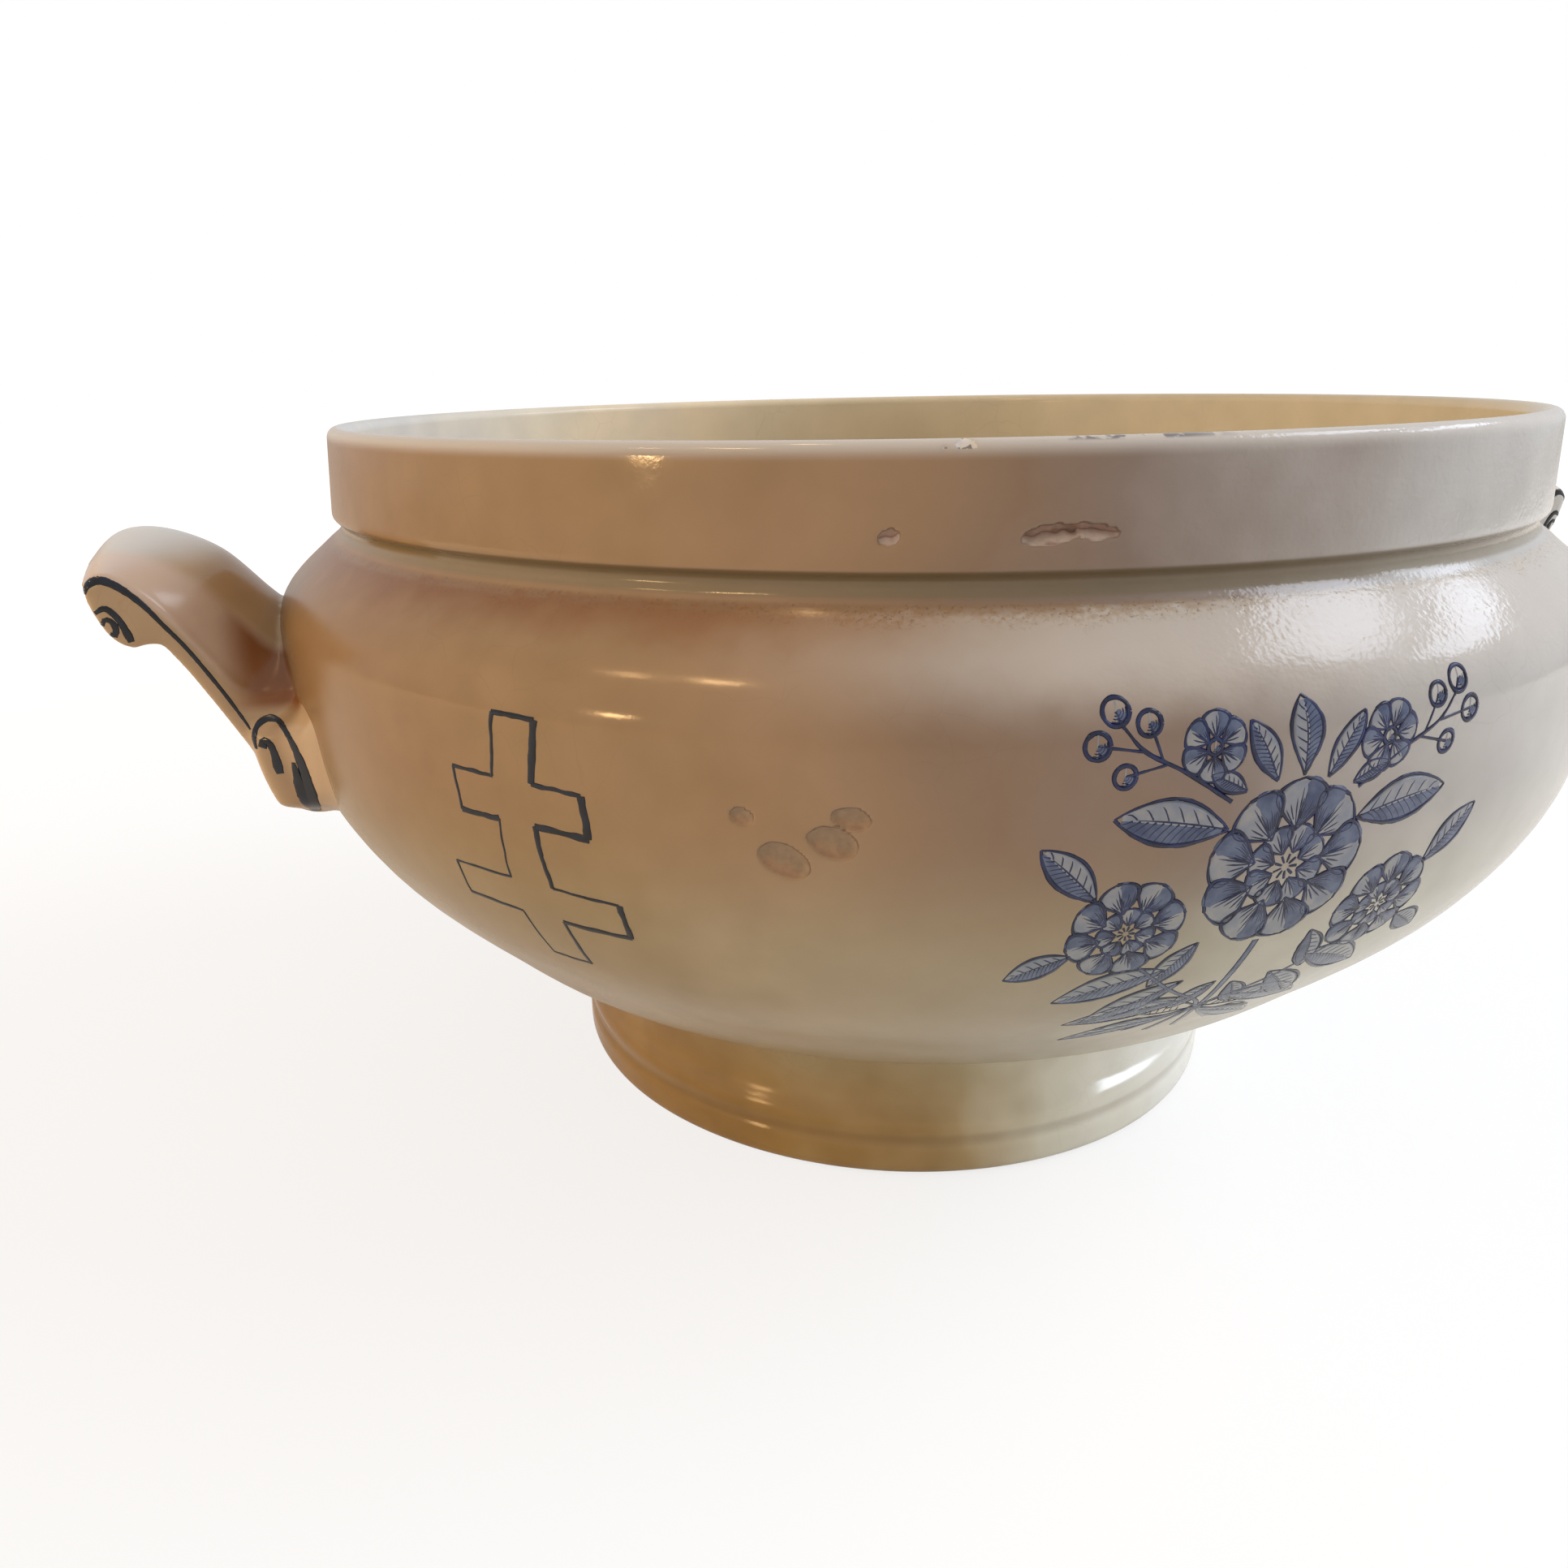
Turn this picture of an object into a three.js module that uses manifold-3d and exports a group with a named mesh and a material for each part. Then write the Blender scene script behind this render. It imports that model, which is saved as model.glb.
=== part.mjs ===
// A lidless two-handled earthenware tureen bowl, thrown on a wheel and raised on a foot ring.
// Millimetres, +Z up, origin at the centre of the resting plane.
// The painted front faces -Y and the two scroll handles lie on the X axis.
import * as THREE from "three";
import { mergeVertices } from "three/addons/utils/BufferGeometryUtils.js";
import Module from "manifold-3d";

const wasm = await Module();
wasm.setup();

// Bowl
const RIM_RADIUS = 119.7; // outside of the lip
const BOWL_HEIGHT = 143.5; // resting plane to the top of the lip
const COLLAR_HEIGHT = 16.3; // upright band under the lip
const COLLAR_FLARE = 1; // how much wider the collar is at its lower edge
const LIP_THICKNESS = 3.8;
const GROOVE_DEPTH = 2.3; // cut under the collar
const GROOVE_HEIGHT = 1.5;
const BEAD_RADIUS = 1.1; // small bead between the groove and the shoulder
const BELLY_RADIUS = 133.4; // widest point of the body
const BELLY_HEIGHT = 101.5; // height of the widest point
const WALL = 5.6;
const FLOOR_THICKNESS = 6.2;
const FLOOR_RADIUS = 66; // flat part of the inside floor

// Foot ring
const FOOT_RADIUS = 75.8; // outside of the base moulding
const FOOT_HEIGHT = 33;
const FOOT_WAIST = 0.9; // how far the foot draws in above its moulding
const FOOT_MOULDING = 8; // height of the base moulding
const FOOT_EDGE = 2.2; // rounding of the moulding
const FOOT_WALL = 7.5;
const FOOT_BEVEL = 1.6; // chamfer inside the resting edge

// Luting slip
const JOINT_GAP = 0.3; // clearance between two pieces that the slip holds
const FOOT_SLIP_DROP = 4.2; // how far the foot's slip runs down the ring
const FOOT_SLIP_REACH = 5.5; // how far it runs out under the body
const SLIP_THICKNESS = 2.4; // pad of slip under a handle
const SLIP_EDGE = 0.35; // its feathered rim
const SLIP_SPREAD = 16.5; // how far it is drawn out beside the handle
const SLIP_LIP = 2; // how far it shows above and below the handle

// Handles
const HANDLE_WIDTH = 52;
const HANDLE_REACH = 29.5; // tip of the scroll beyond the belly
const HANDLE_RISE = 46.6; // side edge: lowest point to highest point
const HANDLE_DROP = 48.2; // lowest point under the neck, so the root stays clear of the collar
const HANDLE_CROWN = 13.6; // how far the rounded top stands over its side edges
const ROOT_TOP = 23; // where the side edges meet the body, over the lowest point
const ROOT_CENTRE = 15; // middle of the root, over the lowest point

// Facets
const ROUND_STEPS = 64;
const SPLINE_STEPS = 15;
const HANDLE_STEPS = 12; // across the width
const SLIP_STEPS = 40; // round the pad
const SLIP_RINGS = 6;

const GLAZE = { color: 0xb39a80, roughness: 0.22, metalness: 0 };
const FOOT_GLAZE = { color: 0xc9b99c, roughness: 0.25, metalness: 0 };
const SLIP_GLAZE = { color: 0xa68f74, roughness: 0.3, metalness: 0 };

const collarBottom = BOWL_HEIGHT - COLLAR_HEIGHT;
const collarRadius = RIM_RADIUS + COLLAR_FLARE; // the bead and the neck keep the same radius
const neckHeight = collarBottom - GROOVE_HEIGHT - 2 * BEAD_RADIUS;
const bowlBottom = FOOT_HEIGHT + JOINT_GAP;
const bowlFloor = bowlBottom + FLOOR_THICKNESS;
const footWaistRadius = FOOT_RADIUS - FOOT_WAIST;
const handleLow = neckHeight - HANDLE_DROP;
const rootCentre = handleLow + ROOT_CENTRE;

function between(low, high, share) {
  return low + (high - low) * share;
}

function spline(points, steps) {
  return new THREE.SplineCurve(points).getPoints(steps);
}

function arc(x, y, radius, from, to, steps) {
  const points = [];
  for (let i = 0; i <= steps; i += 1) {
    const angle = between(from, to, i / steps);
    points.push(new THREE.Vector2(x + radius * Math.cos(angle), y + radius * Math.sin(angle)));
  }
  return points;
}

function solidOf(geometry) {
  const bare = geometry.clone();
  bare.deleteAttribute("normal");
  bare.deleteAttribute("uv");
  const merged = mergeVertices(bare, 1e-4);
  return new wasm.Manifold(
    new wasm.Mesh({
      numProp: 3,
      vertProperties: new Float32Array(merged.attributes.position.array),
      triVerts: new Uint32Array(merged.index.array),
    }),
  );
}

function geometryOf(solid) {
  const mesh = solid.getMesh();
  const geometry = new THREE.BufferGeometry();
  geometry.setAttribute("position", new THREE.BufferAttribute(mesh.vertProperties, mesh.numProp));
  geometry.setIndex(new THREE.BufferAttribute(mesh.triVerts, 1));
  geometry.computeVertexNormals();
  return geometry;
}

function piece(name, geometry, finish) {
  const mesh = new THREE.Mesh(geometry, new THREE.MeshStandardMaterial(finish));
  mesh.name = name;
  return mesh;
}

// A profile of radius and height turned about the vertical axis.
function turned(profile) {
  const lathe = new THREE.LatheGeometry(profile, ROUND_STEPS);
  lathe.rotateX(Math.PI / 2);
  return lathe;
}

// The outside of the body, from the foot to the neck. Shares run from the foot's top edge to the
// widest point, and from the neck to the widest point.
function bodyOutline() {
  const lower = [
    [0, 0],
    [0.33, 0.07],
    [0.59, 0.255],
    [0.823, 0.47],
    [0.965, 0.715],
    [1, 1],
  ];
  const upper = [
    [0.86, 0.53],
    [0, 1],
  ];
  const points = lower.map(
    ([out, up]) =>
      new THREE.Vector2(
        between(footWaistRadius, BELLY_RADIUS, out),
        between(bowlBottom, BELLY_HEIGHT, up),
      ),
  );
  for (const [out, up] of upper) {
    points.push(
      new THREE.Vector2(
        between(collarRadius, BELLY_RADIUS, out),
        between(BELLY_HEIGHT, neckHeight, up),
      ),
    );
  }
  return spline(points, SPLINE_STEPS);
}

// The same outline moved inwards by the wall, kept where it is clear of the floor.
function insideOutline(outline) {
  const clear = 1;
  const inside = [];
  outline.forEach((point, i) => {
    const before = outline[Math.max(i - 1, 0)];
    const after = outline[Math.min(i + 1, outline.length - 1)];
    const along = after.clone().sub(before).normalize();
    const moved = new THREE.Vector2(point.x - along.y * WALL, point.y + along.x * WALL);
    if (moved.y > bowlFloor + clear && moved.x > FLOOR_RADIUS + clear) inside.push(moved);
  });
  return inside;
}

function bowlProfile() {
  const outline = bodyOutline();
  const lip = LIP_THICKNESS / 2;
  const beadHeight = neckHeight + BEAD_RADIUS;
  const groove = collarRadius - GROOVE_DEPTH;
  return [
    new THREE.Vector2(0, bowlBottom),
    ...outline.slice(0, -1),
    ...arc(collarRadius - BEAD_RADIUS, beadHeight, BEAD_RADIUS, -Math.PI / 3, Math.PI / 2, 5),
    new THREE.Vector2(groove, beadHeight + BEAD_RADIUS),
    new THREE.Vector2(groove, collarBottom - GROOVE_HEIGHT / 3),
    new THREE.Vector2(collarRadius, collarBottom),
    ...arc(RIM_RADIUS - lip, BOWL_HEIGHT - lip, lip, 0, Math.PI, 6),
    new THREE.Vector2(collarRadius - LIP_THICKNESS, collarBottom),
    ...insideOutline(outline).reverse(),
    new THREE.Vector2(FLOOR_RADIUS, bowlFloor),
    new THREE.Vector2(0, bowlFloor),
  ];
}

function footProfile() {
  const inner = FOOT_RADIUS - FOOT_WALL;
  const edge = FOOT_RADIUS - FOOT_EDGE;
  const profile = [
    new THREE.Vector2(inner + FOOT_BEVEL, 0),
    ...arc(edge, FOOT_EDGE, FOOT_EDGE, -Math.PI / 2, 0, 4),
    ...arc(edge, FOOT_MOULDING - FOOT_EDGE, FOOT_EDGE, 0, Math.PI / 3, 3),
    new THREE.Vector2(footWaistRadius, FOOT_MOULDING + FOOT_WAIST),
    new THREE.Vector2(footWaistRadius, FOOT_HEIGHT),
    new THREE.Vector2(inner, FOOT_HEIGHT),
    new THREE.Vector2(inner, FOOT_BEVEL),
  ];
  return [...profile, profile[0].clone()];
}

// The height of the outside of the body at a radius, and its radius at a height.
function bodyHeightAt(outline, radius) {
  const i = outline.findIndex((point) => point.x > radius);
  const [low, high] = [outline[i - 1], outline[i]];
  return between(low.y, high.y, (radius - low.x) / (high.x - low.x));
}

function bodyRadiusAt(outline, height) {
  const i = outline.findIndex((point) => point.y > height);
  const [low, high] = [outline[i - 1], outline[i]];
  return between(low.x, high.x, (height - low.y) / (high.y - low.y));
}

// A concave ring of slip in the corner between the foot ring and the body.
function footSlipProfile() {
  const outline = bodyOutline();
  const start = footWaistRadius + JOINT_GAP;
  const reach = start + FOOT_SLIP_REACH;
  const hollow = 0.1 * FOOT_SLIP_REACH;
  const steps = 6;
  const profile = [];
  for (let i = 0; i <= steps; i += 1) {
    const radius = between(reach, start, i / steps);
    profile.push(new THREE.Vector2(radius, bodyHeightAt(outline, radius) - JOINT_GAP));
  }
  const top = profile[0].clone();
  const corner = new THREE.Vector2(start, FOOT_HEIGHT - FOOT_SLIP_DROP);
  const pull = new THREE.Vector2(start + hollow, FOOT_HEIGHT - hollow);
  return [...profile, ...new THREE.QuadraticBezierCurve(corner, pull, top).getPoints(steps)];
}

// A closed skin through rings that all hold the same number of points, shut by a flat or
// gently curved cap at each end.
function lofted(rings, capAxes) {
  const size = rings[0].length;
  const positions = rings.flat().flatMap((point) => point.toArray());
  const index = [];
  for (let r = 0; r + 1 < rings.length; r += 1) {
    for (let i = 0; i < size; i += 1) {
      const next = (i + 1) % size;
      const [a, b] = [r * size + i, r * size + next];
      index.push(a, b, b + size, a, b + size, a + size);
    }
  }
  const flat = rings[0].map((point) => new THREE.Vector2(...capAxes.map((axis) => point[axis])));
  const lid = THREE.ShapeUtils.triangulateShape(flat, []);
  const last = (rings.length - 1) * size;
  for (const [a, b, c] of lid) {
    index.push(c, b, a);
    index.push(last + a, last + b, last + c);
  }
  const geometry = new THREE.BufferGeometry();
  geometry.setAttribute("position", new THREE.Float32BufferAttribute(positions, 3));
  geometry.setIndex(index);
  return geometry;
}

// How much of the crown is reached at a place across the handle: 0 at its sides, 1 in the middle.
function bulge(across) {
  const share = Math.min(Math.abs(across) / (HANDLE_WIDTH / 2), 1);
  return (1 - share * share) ** 0.8;
}

// Handle side face: shares of the reach beyond the belly and of the rise over the lowest point.
const STRAP_UNDER = [
  [-0.6, 0.02],
  [-0.25, 0],
  [-0.09, 0],
  [0.04, 0.06],
  [0.247, 0.318],
  [0.476, 0.59],
  [0.615, 0.73],
];
const SCROLL = [
  [0.615, 0.73],
  [0.7, 0.732],
  [0.785, 0.724],
  [0.885, 0.77],
  [0.96, 0.875],
  [0.98, 0.95],
];
// Top edge from the tip to the root, with how far each point moves in and up under the crown.
const STRAP_TOP = [
  [0.98, 0.95, 0.09, 0.22],
  [0.872, 0.996, 0, 0.34],
  [0.736, 0.942, -0.29, 0.51],
  [0.581, 0.815, -0.63, 0.64],
  [0.402, 0.639, -0.79, 0.67],
  [0.29, 0.528, -0.79, 0.82],
  [0.155, 0.485, -0.69, 0.86],
  [-0.05, 0.494, -0.55, 0.86],
  [-0.45, 0.5, -0.34, 0.86],
];

function onSideFace([out, up]) {
  return new THREE.Vector2(BELLY_RADIUS + out * HANDLE_REACH, handleLow + up * HANDLE_RISE);
}

function handleRing(across) {
  const lift = HANDLE_CROWN * bulge(across);
  const under = spline(STRAP_UNDER.map(onSideFace), 14);
  const scroll = spline(SCROLL.map(onSideFace), 8);
  const top = STRAP_TOP.map(([out, up, leanOut, leanUp]) =>
    onSideFace([out, up]).add(new THREE.Vector2(leanOut * lift, leanUp * lift)),
  );
  const edge = spline(top, 18);
  scroll[scroll.length - 1] = edge[0];
  const ring = [...under, ...scroll.slice(1), ...edge.slice(1)];
  return ring.map((point) => new THREE.Vector3(point.x, across, point.y));
}

function handleBlank() {
  const rings = [];
  for (let i = 0; i <= HANDLE_STEPS; i += 1) {
    const across = (HANDLE_WIDTH / 2) * Math.cos((Math.PI * i) / HANDLE_STEPS);
    rings.push(handleRing(across));
  }
  return lofted(rings, ["x", "z"]);
}

// Rim of the slip pad round a handle's root, as a distance across and a height.
function padRim(angle) {
  const half = HANDLE_WIDTH / 2 + SLIP_SPREAD;
  const above = Math.sin(angle) >= 0;
  const power = above ? 5 : 3;
  const reach = above ? ROOT_TOP - ROOT_CENTRE + SLIP_LIP : ROOT_CENTRE + SLIP_LIP;
  const cos = Math.cos(angle);
  const sin = Math.sin(angle);
  const scale = (Math.abs(cos) ** power + Math.abs(sin) ** power) ** (-1 / power);
  const across = half * scale * cos;
  const hump = above ? STRAP_TOP.at(-1)[3] * HANDLE_CROWN * bulge(across) : 0;
  return [across, rootCentre + reach * scale * sin + hump];
}

function onBody(outline, across, height, thickness) {
  const radius = bodyRadiusAt(outline, height);
  const angle = Math.asin(across / radius);
  const out = radius + thickness;
  return new THREE.Vector3(out * Math.cos(angle), out * Math.sin(angle), height);
}

// A pad that lies on the body round a handle's root and thins to its rim. Its inner face stands
// off the body by `inside`, and its outer face by a further `cover`.
function pad(inside, cover) {
  const outline = bodyOutline();
  const flatShare = 0.5; // share of the pad, from its middle, that has the full thickness
  const ring = (share, thickness) => {
    const points = [];
    for (let i = 0; i < SLIP_STEPS; i += 1) {
      const [across, height] = padRim((2 * Math.PI * i) / SLIP_STEPS);
      const level = between(rootCentre, height, share);
      points.push(onBody(outline, across * share, level, thickness));
    }
    return points;
  };
  const rings = [];
  for (let i = 1; i <= SLIP_RINGS; i += 1) rings.push(ring(i / SLIP_RINGS, inside));
  for (let i = SLIP_RINGS; i >= 1; i -= 1) {
    const fade = Math.min((1 - i / SLIP_RINGS) / (1 - flatShare), 1);
    rings.push(ring(i / SLIP_RINGS, cover + between(SLIP_EDGE, SLIP_THICKNESS, fade * fade)));
  }
  return lofted(rings, ["y", "z"]);
}

// The body without its hollow, standing off by a clearance, for trimming what sits on it.
function bodyPlug(clearance) {
  const outline = bodyOutline().map((point) => new THREE.Vector2(point.x + clearance, point.y));
  const [bottom, top] = [outline[0].y, outline.at(-1).y];
  return turned([new THREE.Vector2(0, bottom), ...outline, new THREE.Vector2(0, top)]);
}

function trimmed(blank, cutters) {
  let solid = solidOf(blank);
  for (const cutter of cutters) solid = solid.subtract(solidOf(cutter));
  return geometryOf(solid);
}

const handleShape = trimmed(handleBlank(), [pad(-WALL, 2 * JOINT_GAP), bodyPlug(JOINT_GAP)]);
const handleSlipShape = trimmed(pad(-WALL / 2, JOINT_GAP), [bodyPlug(JOINT_GAP)]);

const root = new THREE.Group();
root.add(piece("bowl", turned(bowlProfile()), GLAZE));
root.add(piece("foot_ring", turned(footProfile()), FOOT_GLAZE));
root.add(piece("foot_slip_seam", turned(footSlipProfile()), SLIP_GLAZE));
for (const [side, turn] of [
  ["right", 0],
  ["left", Math.PI],
]) {
  const pair = new THREE.Group();
  pair.rotation.z = turn;
  pair.add(piece(`${side}_handle`, handleShape, GLAZE));
  pair.add(piece(`${side}_handle_slip`, handleSlipShape, SLIP_GLAZE));
  root.add(pair);
}

export default root;
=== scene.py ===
# %% [markdown]
# # A two-handled tureen bowl in old ivory earthenware
#
# The real bowl was thrown on a wheel, set on a foot ring, given two scroll handles, painted
# and printed in blue, and covered in a clear lead glaze that has yellowed. This lesson
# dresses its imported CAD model. Every length is in metres, in the CAD model's own frame:
# the front of the bowl faces -Y, the handles lie on the X axis, and it stands on z = 0.

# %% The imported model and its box
import math

import bmesh
import bpy
from mathutils import Matrix, Vector, noise
from mathutils.bvhtree import BVHTree


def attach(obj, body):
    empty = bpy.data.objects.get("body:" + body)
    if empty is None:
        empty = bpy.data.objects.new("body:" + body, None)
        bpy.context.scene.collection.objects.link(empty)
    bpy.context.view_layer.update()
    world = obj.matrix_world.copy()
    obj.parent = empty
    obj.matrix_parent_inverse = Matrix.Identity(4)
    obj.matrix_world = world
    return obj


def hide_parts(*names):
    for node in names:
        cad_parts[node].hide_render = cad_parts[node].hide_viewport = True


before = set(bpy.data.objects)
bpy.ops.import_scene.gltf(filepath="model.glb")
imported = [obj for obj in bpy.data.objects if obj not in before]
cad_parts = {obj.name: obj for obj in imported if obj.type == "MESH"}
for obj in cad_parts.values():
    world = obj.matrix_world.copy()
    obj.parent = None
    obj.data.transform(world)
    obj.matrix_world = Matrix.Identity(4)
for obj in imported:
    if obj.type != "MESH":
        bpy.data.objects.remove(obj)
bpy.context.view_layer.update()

MM = 0.001
print("CAD nodes:", sorted(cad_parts))

# %% [markdown]
# ## The camera
#
# The photograph was taken from close by, a little above the rim and left of the front. A
# close camera makes the near side large, so its place matters as much as its direction.
# Both were worked out from the ovals that the rim and the foot make. The picture's own
# centre isn't the lens's centre, which a small lens shift repeats.

# %% Camera
def in_scene(name, data):
    """A new object, linked to the scene."""
    made = bpy.data.objects.new(name, data)
    bpy.context.scene.collection.objects.link(made)
    return made


PICTURE = 1932
FOCAL_PX = 1458.5
LENS_CENTRE = (894.4, 1043.1)

camera_data = bpy.data.cameras.new("photo_camera")
camera_data.sensor_width = 36.0
camera_data.lens = FOCAL_PX / PICTURE * 36.0
camera_data.shift_x = (PICTURE / 2 - LENS_CENTRE[0]) / PICTURE
camera_data.shift_y = (LENS_CENTRE[1] - PICTURE / 2) / PICTURE
camera_data.clip_start = 0.01
camera = in_scene("photo_camera", camera_data)

right = Vector((0.95847, -0.28437, -0.0205)).normalized()
ahead = Vector((0.25666, 0.89186, -0.3725))
ahead = (ahead - right * ahead.dot(right)).normalized()
above = right.cross(ahead)
turn = Matrix((right, above, -ahead)).transposed()
camera.matrix_world = Matrix.Translation(Vector((-114.35, -250.92, 151.79)) * MM) @ turn.to_4x4()
bpy.context.scene.camera = camera
bpy.context.scene.view_settings.view_transform = "Standard"
print("lens", round(camera_data.lens, 2), "mm, shift", round(camera_data.shift_x, 4),
      round(camera_data.shift_y, 4))

# %% [markdown]
# ## Helpers for shapes
#
# A potter's profile is a few points with soft corners. One helper runs a smooth line
# through points, and another softens each corner of a straight-sided line, as glaze does
# when it flows over an edge. Lengths here are in millimetres, because that is how the
# profile was measured, and they turn to metres when a bmesh is made.

# %% Smooth lines and soft corners
def smooth_line(points, spacing):
    """Points at a spacing along a smooth curve through the given ones."""
    points = [Vector(p) for p in points]
    ends = [points[0] * 2 - points[1]] + points + [points[-1] * 2 - points[-2]]
    dense = []
    for before, a, b, after in zip(ends, ends[1:], ends[2:], ends[3:]):
        for step in range(24):
            t = step / 24
            into, out = (b - before) / 2, (after - a) / 2
            dense.append(a + into * t + (3 * (b - a) - 2 * into - out) * t ** 2
                         + (2 * (a - b) + into + out) * t ** 3)
    return even_points(dense + [points[-1]], lambda point: spacing)


def even_points(line, spacing_at):
    """The same line with new points, as far apart as spacing_at(point) says."""
    made, left = [line[0]], spacing_at(line[0])
    for a, b in zip(line, line[1:]):
        length, done = (b - a).length, 0.0
        while length - done > left:
            done += left
            made.append(a.lerp(b, done / length))
            left = spacing_at(made[-1])
        left -= length - done
    if (made[-1] - line[-1]).length < 0.3 * spacing_at(line[-1]) and len(made) > 1:
        made.pop()
    return made + [line[-1]]


def soft_corners(corners, steps=6):
    """A line through (x, y, softness) corners, each rounded over its softness."""
    line = []
    for i, (x, y, soft) in enumerate(corners):
        here = Vector((x, y))
        if soft == 0 or i in (0, len(corners) - 1):
            line.append(here)
            continue
        towards = [Vector(corners[j][:2]) - here for j in (i - 1, i + 1)]
        start, end = (here + way.normalized() * min(soft, way.length / 2) for way in towards)
        for step in range(steps + 1):
            t = step / steps
            line.append(start * (1 - t) ** 2 + here * 2 * t * (1 - t) + end * t ** 2)
    return line


def mesh_of(bm, name):
    """Turns a bmesh to a mesh and frees it."""
    mesh = bpy.data.meshes.new(name)
    bm.to_mesh(mesh)
    bm.free()
    return mesh


def finished(name, mesh, materials, replaced=()):
    """Makes a mesh a smooth-shaded piece that rides on the root body."""
    for material in materials:
        mesh.materials.append(material)
    mesh.polygons.foreach_set("use_smooth", [True] * len(mesh.polygons))
    piece = in_scene(name, mesh)
    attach(piece, "root")
    if replaced:
        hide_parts(*replaced)
    print(name, "has", sum(len(p.vertices) - 2 for p in mesh.polygons), "triangles")
    return piece


# %% [markdown]
# ## Helpers for finishes
#
# Colours are written as the sRGB hex values that a colour picker shows, and one function
# turns them to the linear values that shaders work in. A second small function adds a
# node, sets it up and links it, so that each material reads from top to bottom.

# %% Colours and nodes
def linear(hex_colour):
    """Linear RGBA of an sRGB hex colour."""
    parts = [int(hex_colour[i:i + 2], 16) / 255 for i in (1, 3, 5)]
    curve = [c / 12.92 if c <= 0.04045 else ((c + 0.055) / 1.055) ** 2.4 for c in parts]
    return (*curve, 1.0)


def add(tree, kind, inputs=None, **settings):
    """Adds a node: settings are its properties, inputs are values or sockets to link."""
    made = tree.nodes.new("ShaderNode" + kind)
    for key, value in settings.items():
        setattr(made, key, value)
    for key, value in (inputs or {}).items():
        if isinstance(value, bpy.types.NodeSocket):
            tree.links.new(value, made.inputs[key])
        else:
            made.inputs[key].default_value = value
    return made


def new_material(name):
    """An empty node material with its output."""
    material = bpy.data.materials.new(name)
    material.use_nodes = True
    material.node_tree.nodes.clear()
    return material, material.node_tree, add(material.node_tree, "OutputMaterial")


# %% [markdown]
# ## The glaze
#
# The finish is a clear lead glaze over ivory earthenware: a glossy, slightly wavy skin
# that shows the clay's cream colour, with tea-brown stain that has crept under it on one
# side, a net of hair-fine crazing and a few iron specks. A Principled shader with an IOR
# of 1.5 gives the gloss. The colour is built in layers: stain and painted light from side
# to side, with warm lamp light at the left, a painted shade left of the front and a pale,
# window-lit grey at the right; a paler tone low down, partly painted bounce light from
# below; then mottling, crazing and specks. The scale of each pattern is one over the
# real size of its grain in metres. One helper multiplies soft steps into a share, and
# another lays colours over each other where such shares say.

# %% Lead glaze over ivory clay
def tones(tree, value, stops, unit=MM):
    """A colour that changes along a value: stops are (value in the unit, hex colour)."""
    first, last = stops[0][0], stops[-1][0]
    share = add(tree, "MapRange", {0: value, 1: first * unit, 2: last * unit})
    node = add(tree, "ValToRGB", {0: share.outputs[0]})
    band = node.color_ramp
    for n, (at, colour) in enumerate(stops):
        spot = band.elements[n] if n < 2 else band.elements.new(1.0)
        spot.position, spot.color = (at - first) / (last - first), linear(colour)
    return node.outputs[0]


def where(tree, share, *steps):
    """A share times its steps: sockets, or (value, low, high) for a soft step from 0 at low
    to 1 at high, in metres or plain numbers."""
    for step in steps:
        if isinstance(step, tuple):
            step = add(tree, "MapRange", dict(enumerate(step)),
                       interpolation_type="SMOOTHSTEP").outputs[0]
        share = add(tree, "Math", {0: share, 1: step}, operation="MULTIPLY").outputs[0]
    return share


def layered(tree, colour, *rows):
    """Lays rows of (colour, strength, *steps) over a colour, hex colours or sockets."""
    for over, strength, *steps in rows:
        under, over = (linear(c) if isinstance(c, str) else c for c in (colour, over))
        colour = add(tree, "Mix", {0: where(tree, strength, *steps), 6: under, 7: over},
                     data_type="RGBA").outputs[2]
    return colour


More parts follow.
